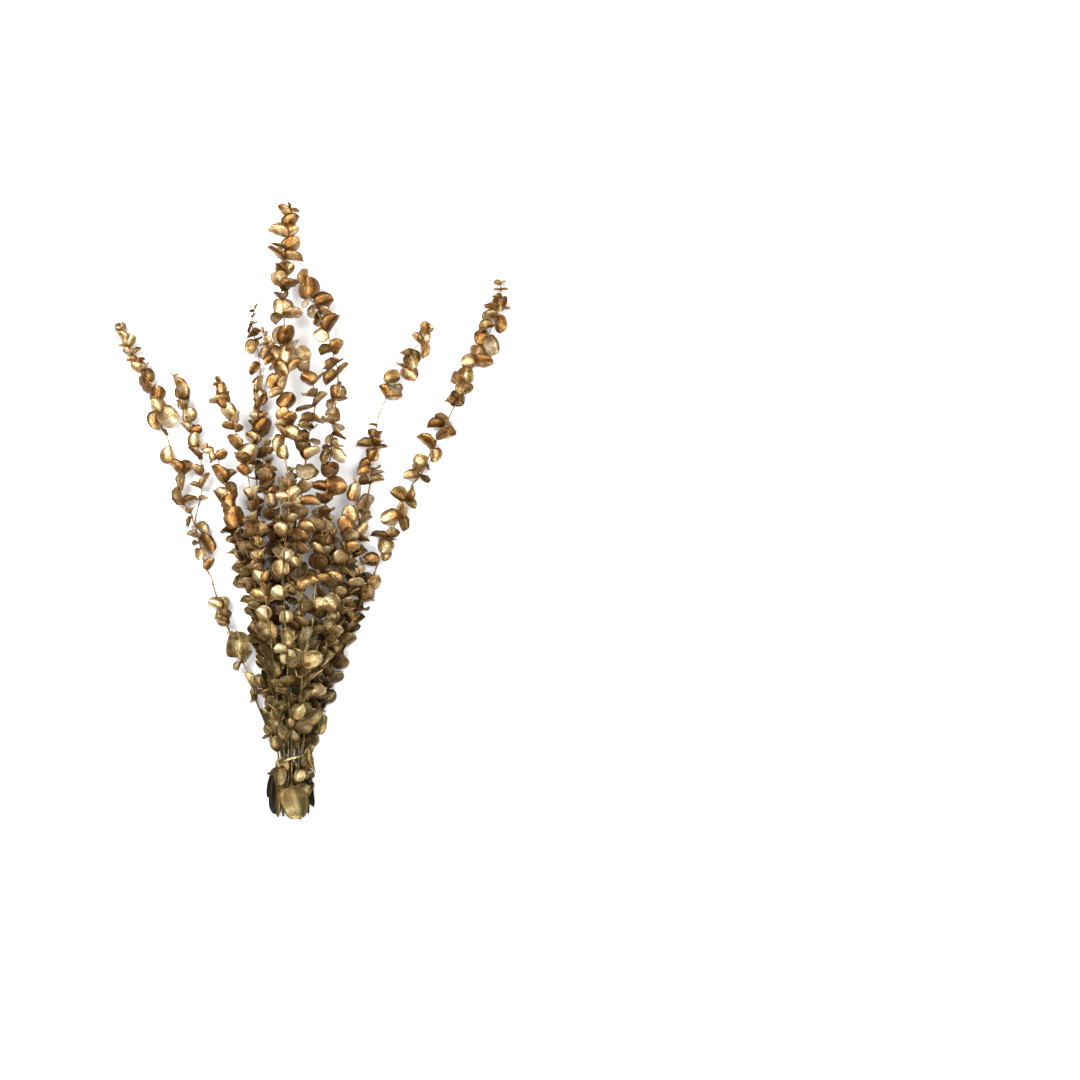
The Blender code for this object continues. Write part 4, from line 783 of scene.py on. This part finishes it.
def strand_path():
    """The strand's loop: pulled taut round the outer stems, and slanting up to the right."""
    slots = [Vector(stem["slot"]) * MM for stem in STEMS.values()]
    reach = STEM_RADIUS_CUT + TIE_GAP + TIE_RADIUS
    middle = place((*TIE_AT, 0))
    path = []
    for k in range(TIE_POINTS):
        angle = 2 * math.pi * k / TIE_POINTS
        way = Vector((math.cos(angle), math.sin(angle)))
        point = max(slots, key=lambda slot: slot.dot(way)) + way * reach
        path.append(middle + Vector((point.x, TIE_SLOPE * point.x, point.y)))
    return path


def age_at(from_tip):
    """The size of a leaf as a share of a full-grown one, by its distance from the stem's tip."""
    return min(1.0, YOUNG_SHARE + (1 - YOUNG_SHARE) * from_tip / YOUNG_REACH)


def way_out(here, pair, face):
    """The direction that a wall of the stem's plain solid faces at a leaf pair."""
    _, tangent, normal = here["route"].at(here["pairs"][pair][0])
    angle = math.radians(here["first_turn"] + TWIST_PER_PAIR * pair + 90 * face + 90)
    return normal * math.cos(angle) + tangent.cross(normal) * math.sin(angle)


def tube_ring(route, s, turn):
    """The four corners of a stem's plain solid at a distance along it."""
    middle, tangent, normal = route.at(s)
    side = tangent.cross(normal)
    radius = radius_at(route, s)
    angles = [math.radians(turn + 45 + 90 * k) for k in range(4)]
    return [middle + (normal * math.cos(a) + side * math.sin(a)) * radius for a in angles]


def tube_rings(here):
    """The rings of a stem's plain solid: its cut end, and one each side of every leaf pair."""
    rings = [tube_ring(here["route"], 0.0, here["first_turn"])]
    for i, (s, _) in enumerate(here["pairs"]):
        turn = here["first_turn"] + TWIST_PER_PAIR * i
        rings += [tube_ring(here["route"], where, turn) for where in (s - COLLAR, s + COLLAR)]
    return rings


def leaf_rings(leaf, margin=0.0):
    """The four corners of a leaf's blade at each place of its outline, lifted clear of the surface."""
    rings = []
    heading = leaf["heading"].copy()
    middle = leaf["base"].copy()
    reached = 0.0
    for share, width in OUTLINE:
        turn = Matrix.Rotation(leaf["bend"] * (share - reached), 3, leaf["across"])
        heading = turn @ heading
        middle = middle + heading * leaf["length"] * (share - reached)
        reached = share
        up = leaf["across"].cross(heading).normalized()
        side = leaf["across"] * (leaf["width"] * width / 2 + margin)
        rise = up * (LEAF_HALF + margin)
        ring = [middle - side + rise, middle + side + rise, middle + side - rise, middle - side - rise]
        sunk = min(0.0, min(p.z for p in ring) + margin)
        rings.append([p - Vector((0, 0, sunk)) for p in ring])
    return rings


def ring_tree(rings):
    """A search tree over the closed skin of a row of rings."""
    points = [p for ring in rings for p in ring]
    faces = [(0, 1, 2, 3), tuple(len(points) - 4 + k for k in range(4))]
    for i in range(len(rings) - 1):
        for k in range(4):
            n = (k + 1) % 4
            faces.append((4 * i + k, 4 * i + n, 4 * i + 4 + n, 4 * i + 4 + k))
    return BVHTree.FromPolygons(points, faces)


def make_leaf(base, heading, across, length, width, bend=0.0):
    """A leaf's place: where its blade starts, the ways it points and lies, its size, and its bend."""
    return dict(base=base, heading=heading, across=across, length=length, width=width, bend=bend)


def set_leaf(middle, length, width, pointing, slope_across, slope_along):
    """A leaf of the tied end, from its blade's middle and the way it points."""
    flat = Matrix.Rotation(math.radians(pointing), 3, "Z")
    flat = flat @ Matrix.Rotation(math.radians(-slope_along), 3, "Y")
    flat = flat @ Matrix.Rotation(math.radians(slope_across), 3, "X")
    heading = flat @ Vector((1, 0, 0))
    across = flat @ Vector((0, -1, 0))
    return make_leaf(middle - heading * length * 0.5, heading, across, length, width)


def seen_heading(sight, full_length, more_pitch=0.0):
    """A seen leaf's true length, and the way it points once its pitch makes it look as long as it is seen."""
    pointing, long, _ = sight
    seen = abs(long) * PIXEL
    length = max(seen, min(full_length, seen * MOST_SHORTENED))
    pitch = math.copysign(math.acos(seen / length), long) + math.radians(more_pitch)
    flat = Matrix.Rotation(math.radians(pointing), 3, "Z")
    return length, flat @ Vector((math.cos(pitch), 0, math.sin(pitch)))


def seen_leaf(base, tangent, outward, full_length, give, sight):
    """A leaf that looks as long and as wide from above as it is seen. Of the ways to roll its blade, it takes
    the one whose inner face is turned most towards the stem's tip. None if it would point into the stem."""
    more_pitch, more_roll, share = give
    length, heading = seen_heading(sight, full_length, more_pitch)
    if heading.dot(outward) <= MOST_BEHIND:
        return None
    seen = sight[2] * PIXEL
    width = max(seen, min(length * LEAF_RATIO, seen * MOST_NARROWED))
    roll = math.acos(seen / width) + math.radians(more_roll)
    level = Vector((0, 0, 1)).cross(heading).normalized()
    along = tangent.dot(heading)
    inner = tangent * math.sqrt(max(0.0, 1 - along * along)) - outward * along
    turns = (roll, -roll, math.pi + roll, math.pi - roll)
    sides = [Matrix.Rotation(turn, 3, heading) @ level for turn in turns]
    across = max(sides, key=lambda side: side.cross(heading).dot(inner))
    return make_leaf(base, heading, across, length * share, width * share)


def choose_walls(here, pair, headings):
    """The walls of the stem at a leaf pair that suit its leaves best, one for each leaf."""
    ways = [way_out(here, pair, face) for face in range(4)]
    fits = itertools.permutations(range(4), len(headings))
    return max(fits, key=lambda faces: sum(ways[f].dot(heading) for f, heading in zip(faces, headings)))


def shape_leaf(base, tangent, outward, full_length, give, habit):
    """A leaf that leaves the stem at base. It lies back from the stem by its spread, swings to one side, and
    turns its blade some way towards facing up, as leaves do once the bunch is laid down."""
    spread, swing, facing, bend, size, ratio = habit
    less_spread, more_swing, share = give
    angle = math.radians(max(spread + less_spread, LEAST_SPREAD))
    across = outward.cross(tangent).normalized()
    heading = (tangent * math.cos(angle) + outward * math.sin(angle)).normalized()
    up = across.cross(heading)
    heading = Matrix.Rotation(math.radians(swing + more_swing), 3, up) @ heading
    across = heading.cross(up).normalized()
    level = heading.cross(Vector((0, 0, 1)))
    if level.length > LEAST_SLANT:
        level.normalize()
        if level.dot(across) < 0:
            level.negate()
        roll = math.atan2(across.cross(level).dot(heading), across.dot(level))
        across = Matrix.Rotation(roll * facing, 3, heading) @ across
    length = full_length * size * share
    return make_leaf(base, heading, across, length, length * ratio, math.radians(bend))


def draw_habit(rng, route, s):
    """One leaf's habit, which is the same however often it gives way."""
    from_tip = route.length - s
    from_tie = abs(route.at(s)[0].y - place((*TIE_AT, 0)).y)
    squeeze = SQUEEZE * max(0.0, 1 - from_tie / SQUEEZE_REACH)
    spread = SPREAD_BELOW if from_tip > SPREAD_TIP_REACH else SPREAD_AT_TIP
    return (
        rng.uniform(*spread) * (1 - squeeze),
        rng.uniform(*SWING),
        rng.uniform(*FACING),
        rng.uniform(*BEND),
        age_at(from_tip) * rng.uniform(*SIZE),
        LEAF_RATIO * rng.uniform(*BREADTH),
    )


tubes = {name: ring_tree(tube_rings(here)) for name, here in plan.items()}
strand = strand_path()
square = [Vector(corner) * TIE_RADIUS for corner in ((1, 1, 1), (-1, 1, 1), (-1, -1, -1), (1, -1, -1))]
tubes["strand"] = ring_tree([[point + corner for corner in square] for point in strand + strand[:1]])
placed = []


def clear(leaf, own, room):
    """Whether a leaf keeps clear of all wood but its foot's, and of the leaves already there."""
    rings = leaf_rings(leaf, room)
    whole, outer = ring_tree(rings), ring_tree(rings[1:])
    middle = (rings[2][0] + rings[2][2]) / 2
    if any(whole.overlap(tube) for name, tube in tubes.items() if name != own):
        return False
    if ring_tree(leaf_rings(leaf)[2:]).overlap(tubes[own]):
        return False
    for other_name, other_middle, other_length, other_whole, other_outer in placed:
        if (middle - other_middle).length < (leaf["length"] + other_length) * NEAR_SHARE:
            if outer.overlap(other_outer) if other_name == own else whole.overlap(other_whole):
                return False
    return True


def keep(leaf, own, pair, face, foot=None):
    """Add a leaf to its stem, and to the leaves that others give way to."""
    plan[own]["leaves"][(pair, face)] = leaf
    rings = leaf_rings(leaf)
    if foot:
        rings[:2] = [foot]
    middle = (rings[-3][0] + rings[-3][2]) / 2
    placed.append((own, middle, leaf["length"], ring_tree(rings), ring_tree(rings[1:])))


def try_leaf(name, pair, face, gives, room, shape, full_length, how):
    """Grow a leaf from a wall of a stem, in the first of the ways it can give way that keeps it clear."""
    route, s = plan[name]["route"], plan[name]["pairs"][pair][0]
    middle, tangent, _ = route.at(s)
    outward = way_out(plan[name], pair, face)
    base = middle + outward * radius_at(route, s) * LEAF_FOOT
    for give in gives:
        leaf = shape(base, tangent, outward, full_length, give, how)
        if leaf and clear(leaf, name, room):
            keep(leaf, name, pair, face)
            return


# First the listed leaves of the tied end are placed, then those that are seen, the largest first, then the
# others
for name, row, middle, length, width, pointing, across, along in SET_LEAVES:
    here = plan[name]
    s = here["route"].reach(row)
    pair = min(range(len(here["pairs"])), key=lambda i: abs(here["pairs"][i][0] - s))
    free = [face for face in range(4) if (pair, face) not in here["leaves"]]
    face = max(free, key=lambda f: way_out(here, pair, f).z)
    leaf = set_leaf(place(middle), length * MM, width * MM, pointing, across, along)
    keep(leaf, name, pair, face, tube_ring(here["route"], s, here["first_turn"]))

waiting = []
for name, here in plan.items():
    for pair, (s, sights) in enumerate(here["pairs"]):
        if sights in (True, False):
            continue
        full = GROWING[name]["leaf"] * MM * SEEN_SHARE * age_at(here["route"].length - s)
        faces = choose_walls(here, pair, [seen_heading(sight, full)[1] for sight in sights])
        waiting += [(name, pair, face, full, sight) for face, sight in zip(faces, sights)]
waiting.sort(key=lambda entry: -abs(entry[4][1] * entry[4][2]))
for name, pair, face, full, sight in waiting:
    try_leaf(name, pair, face, SEEN_GIVE_WAY, SEEN_CLEARANCE, seen_leaf, full, sight)

for number, (name, here) in enumerate(plan.items()):
    rng = random.Random(HABIT_SEED + number)
    for pair in reversed(range(len(here["pairs"]))):
        s, leafy = here["pairs"][pair]
        for face in (pair % 2, pair % 2 + 2):
            habit = draw_habit(rng, here["route"], s)
            if leafy is True and (pair, face) not in here["leaves"]:
                full = GROWING[name]["leaf"] * MM
                try_leaf(name, pair, face, GIVE_WAY, CLEARANCE, shape_leaf, full, habit)


# How a leaf is drawn: its rows, from the foot inside the stem to the point, and its columns, its size beside
# its plain solid, how it is widest past its middle, and how its sides and its point are drawn out
LEAF_ROWS = 13
LEAF_COLUMNS = 8
LEAF_THICKNESS = 0.35 * MM
FOOT_ROW = 1 / LEAF_ROWS
FOOT_WIDTH = 0.5 * MM
LONGER = 1.05
WIDER = 1.14
ROUND_SKEW = 0.84
ROUND_FULLNESS = 0.66
FOOT_BREADTH = 0.10
POINT_BREADTH = 0.03
POINT_FROM = 0.7
POINT_LENGTH = 0.09
SIDE_START = 0.10
CURL_FROM = 0.4
CURL_RISE = 2
EDGE_FROM = 0.75
LEAST_HEIGHT = 0.4 * MM

# How a leaf has dried, each drawn between two values: how far it is cupped, folded along its midrib, ruffled
# along its edge, how many ripples that makes and where they start, how far each side curls up, its twist
# (degrees) and its lean sideways. Then the tint of its own paint
CUP = (0.0, 0.32)
FOLD = (-0.05, 0.45)
RUFFLE = (0.02, 0.11)
RIPPLES = (9, 17)
CURL = (-0.2, 0.9)
PHASE = (0, 6.3)
TWIST = (-28, 28)
LEAN = (-0.10, 0.10)
LEAF_TINTS = (-0.45, 1.0)
LOOK_SEED = 1000

# Some stems took the paint darker than others: what is added to the tint of their leaves
STEM_TINT = {
    "stem_far_right": 0.35, "stem_left_short": 0.3, "stem_centre_left": 0.25, "stem_right_tall": 0.15,
    "stem_tallest": 0.05, "stem_right": 0.1, "stem_inner_left": 0.2, "stem_inner_centre": 0.2,
    "stem_inner_short": 0.1, "stem_low_left": 0.2, "stem_low_right": 0.25, "stem_low_centre": 0.3,
    "stem_centre": -0.2, "stem_right_short": -0.1, "stem_left_slender": 0.1,
}

# How the listed leaves of the tied end look: what is added to the tint, the patch of bare olive, and how
# much of the width is left where the leaf has curled up. A patch is worked out from a place across the leaf
# (-1 to 1) and along it (0 to 1)
# Tints near 4 turn a leaf near-black: partly bare, dried leaf and partly painted shade at the tied end's
# sides
SET_LOOKS = (
    (-0.8, "band", 1.16), (-0.3, "whole", 1.0), (-0.3, None, 0.8), (0.4, None, 0.8), (-0.3, "half", 1.0),
    (0.1, "whole", 1.0), (0.2, None, 1.0), (0.0, None, 1.0), (-0.8, None, 1.0), (4.0, None, 0.6),
    (4.0, None, 0.7), (3.8, None, 0.6), (3.8, None, 0.8), (4.2, None, 1.0), (4.2, None, 1.0),
    (-0.2, None, 1.0),
)
OLIVE_PATCHES = {
    None: lambda v, t: 0.0,
    "band": lambda v, t: min(1.0, max(0.0, 2.0 - 9 * abs(t - 0.47 + 0.16 * v))),
    "half": lambda v, t: min(1.0, max(0.0, 3 * v)),
    "whole": lambda v, t: 0.85,
}
SET_NEARNESS = 2 * MM

# Painted shade and light: a leaf that lies under others is tinted darker, for the shade they cast on it, and
# one on top of the dense part is tinted paler, for the light it gets
COVER_REACH = 14 * MM
COVER_STEP = 6 * MM
MOST_COVER = 5
CROWDED = 4
COVER_SHADE = 0.24
OPEN_LIGHT = 0.30


def leaf_width(t):
    """Half the width of a leaf, as a share of its greatest, along its length."""
    round_part = math.sin(math.pi * t ** ROUND_SKEW) ** ROUND_FULLNESS if 0 < t < 1 else 0.0
    return max(round_part, FOOT_BREADTH * (1 - t) + POINT_BREADTH)


def leaf_middle(leaf):
    """The middle of a leaf's blade."""
    return leaf["base"] + leaf["heading"] * leaf["length"] * 0.5


blade_middles = [leaf_middle(leaf) for here in plan.values() for leaf in here["leaves"].values()]
from_above = KDTree(len(blade_middles))
for number, spot in enumerate(blade_middles):
    from_above.insert((spot.x, spot.y, 0), number)
from_above.balance()


def painted_cover_shade_and_light(leaf):
    """How much painted shade darkens a leaf under others, and how much painted light pales one on top of the
    dense part.
    """
    spot = leaf_middle(leaf)
    near = from_above.find_range((spot.x, spot.y, 0), COVER_REACH)
    above = sum(blade_middles[number].z > spot.z + COVER_STEP for _, number, _ in near)
    return COVER_SHADE * min(above, MOST_COVER) - (OPEN_LIGHT if len(near) > CROWDED else 0.0)


def chosen_look(leaf):
    """The look of a listed leaf of the tied end, or that of a leaf for which none was chosen."""
    for row, look in zip(SET_LEAVES, SET_LOOKS):
        if (leaf_middle(leaf) - place(row[2])).length < SET_NEARNESS:
            return look
    return 0.0, None, 1.0


def grow_leaf(bm, leaf, foot, rng, more_tint):
    """Bend a flat grid into one leaf. Its first row is its foot, inside the stem."""
    cup, fold, ruffle, ripples = (rng.uniform(*limits) for limits in (CUP, FOLD, RUFFLE, RIPPLES))
    curls = [rng.uniform(*CURL), rng.uniform(*CURL)]
    phase = rng.uniform(*PHASE)
    twist = math.radians(rng.uniform(*TWIST))
    lean = rng.uniform(*LEAN)
    chosen, patch, share_left = chosen_look(leaf)
    # The tint includes painted shade under other leaves and painted light on top of the dense part
    tint = rng.uniform(*LEAF_TINTS) + more_tint + painted_cover_shade_and_light(leaf) + chosen
    length, width = leaf["length"] * LONGER, leaf["width"] * WIDER * share_left
    grid = bmesh.ops.create_grid(bm, x_segments=LEAF_COLUMNS, y_segments=LEAF_ROWS, size=1.0)["verts"]
    spots = {}
    for vert in grid:
        v, t = vert.co.x, ((vert.co.y + 1) / 2 - FOOT_ROW) / (1 - FOOT_ROW)
        if t < -0.5 * FOOT_ROW:
            vert.co = foot + leaf["across"] * (v * FOOT_WIDTH)
            spots[vert] = (v, 0.0)
            continue
        spots[vert] = (v, t)
        u = (1 - math.cos(math.pi * t)) / 2
        heading = Matrix.Rotation(leaf["bend"] * u * 0.5, 3, leaf["across"]) @ leaf["heading"]
        spin = Matrix.Rotation(twist * u, 3, heading)
        across = spin @ leaf["across"]
        up = spin @ leaf["across"].cross(heading).normalized()
        curl = curls[v > 0] * max(0.0, abs(v) - CURL_FROM) ** 2 * CURL_RISE
        wave = ruffle * math.sin(ripples * u + phase + 2 * v) * abs(v) ** 3
        lift = width * leaf_width(t) * 0.5 * (cup * v * v + fold * abs(v) + curl + wave)
        sideways = v * (width / 2 * leaf_width(t)) + lean * width * math.sin(math.pi * u)
        point = POINT_LENGTH * (1 - abs(v)) ** 3 * max(0.0, t - POINT_FROM) / (1 - POINT_FROM)
        onward = length * (point - SIDE_START * v * v * (1 - u) ** 2)
        vert.co = leaf["base"] + heading * length * u + across * sideways + up * lift + heading * onward
        vert.co.z = max(vert.co.z, LEAST_HEIGHT)

    tints, edges, olives = (bm.verts.layers.float[layer] for layer in ("tint", "edge", "olive"))
    for vert, (v, t) in spots.items():
        vert[tints] = tint
        vert[edges] = max(abs(v), (t - EDGE_FROM) / (1 - EDGE_FROM))
        vert[olives] = OLIVE_PATCHES[patch](v, t)
    uv_layer = bm.loops.layers.uv["leaf"]
    for loop in {loop for vert in grid for loop in vert.link_loops}:
        v, t = spots[loop.vert]
        loop[uv_layer].uv = (0.5 + 0.5 * v * leaf_width(t), (1 - math.cos(math.pi * t)) / 2)


for number, name in enumerate(STEMS):
    bm = bmesh.new()
    bm.loops.layers.uv.new("leaf")
    for layer in ("tint", "edge", "olive"):
        bm.verts.layers.float.new(layer)
    for part_number, part in enumerate([name, "twig"] if name == TWIG["parent"] else [name]):
        rng = random.Random(LOOK_SEED + 10 * number + part_number)
        here = plan[part]
        for pair, face in sorted(here["leaves"]):
            foot = here["route"].at(here["pairs"][pair][0])[0]
            grow_leaf(bm, here["leaves"][(pair, face)], foot, rng, STEM_TINT.get(part, 0.0))
    piece = finish_piece(name + "_leaves", bm, [outer_paint, inner_paint_and_bounce], name)
    shell = piece.modifiers.new("blade", "SOLIDIFY")
    shell.thickness = LEAF_THICKNESS
    shell.offset = 0.0
    shell.material_offset = 1
    shell.material_offset_rim = 0


# The tie. A strand of flat cord is pulled taut round the stems near their cut ends, with its ends tucked in,
# and is gilded with them. It turns a little on itself on its way round.
TIE_SIDES = 10
TIE_HALF_WIDTH = 1.8 * MM
TIE_HALF_THICKNESS = 0.75 * MM
TIE_ROLL = 0.5
TIE_TINT = -1.2

bm = bmesh.new()
rings = []
for i, point in enumerate(strand):
    tangent = (strand[(i + 1) % TIE_POINTS] - strand[i - 1]).normalized()
    outward = tangent.cross(Vector((0, 1, 0))).normalized()
    along = outward.cross(tangent)
    roll = TIE_ROLL * math.sin(2 * math.pi * i / TIE_POINTS)
    circle = bmesh.ops.create_circle(bm, segments=TIE_SIDES, radius=1.0)["verts"]
    for k, vert in enumerate(circle):
        angle = 2 * math.pi * k / TIE_SIDES
        x, y = TIE_HALF_WIDTH * math.cos(angle), TIE_HALF_THICKNESS * math.sin(angle)
        sideways, outwards = x * math.cos(roll) - y * math.sin(roll), x * math.sin(roll) + y * math.cos(roll)
        vert.co = point + along * sideways + outward * outwards
    rings.append(list({edge for vert in circle for edge in vert.link_edges}))
for i in range(TIE_POINTS):
    bmesh.ops.bridge_loops(bm, edges=rings[i] + rings[(i + 1) % TIE_POINTS])
bmesh.ops.recalc_face_normals(bm, faces=bm.faces)
tint_all(bm, TIE_TINT)
tie = finish_piece("tie_cord", bm, [bark_paint], "tie_strand")


# The floor. A plain, pale, matt surface, wide enough to fill every view. The bunch lies loose on it, with
# nothing to hold it.
FLOOR_HALF = 6.0
FLOOR_WHITE = (0.92, 0.92, 0.92, 1)
FLOOR_ROUGH = 0.9

floor_paint = Paint("floor_white")
floor_paint.shader.inputs["Base Color"].default_value = FLOOR_WHITE
floor_paint.shader.inputs["Roughness"].default_value = FLOOR_ROUGH
bm = bmesh.new()
bmesh.ops.create_grid(bm, x_segments=1, y_segments=1, size=FLOOR_HALF)
floor = add_mesh("floor", bm, [floor_paint.material])


# The light. Three large soft panels stand high over the bunch, round the camera's view, and a faint, even,
# white surround fills the shade.
SURROUND = 0.50
PANEL_SIZE = 1.2
PANELS = {
    "panel_left": ((-1.1, 0.9, 3.0), 135),
    "panel_right": ((1.2, 0.6, 3.2), 60),
    "panel_near": ((0.1, -1.3, 3.1), 60),
}

world = bpy.data.worlds.new("studio")
bpy.context.scene.world = world
world.use_nodes = True
surround = world.node_tree.nodes["Background"].inputs
surround["Color"].default_value = (1.0, 1.0, 1.0, 1)
surround["Strength"].default_value = SURROUND
for name, (spot, power) in PANELS.items():
    light = bpy.data.lights.new(name, "AREA")
    light.size = PANEL_SIZE
    light.energy = power
    panel = add_object(name, light)
    panel.location = spot
    panel.rotation_euler = (-Vector(spot)).to_track_quat("-Z", "Y").to_euler()


# The camera. It looks straight down on the bunch, as the photograph looks straight at it, from as high as
# makes the bunch the size that it is there.
camera_data = bpy.data.cameras.new("camera")
camera_data.lens = LENS
camera_data.sensor_width = SENSOR
camera = add_object("camera", camera_data)
across, down = (FRAME_MIDDLE - pixel for pixel in CENTRE_PIXEL)
camera.location = (across * PIXEL, -down * PIXEL, VIEW_HEIGHT)
bpy.context.scene.camera = camera
bpy.context.scene.view_settings.view_transform = "Standard"
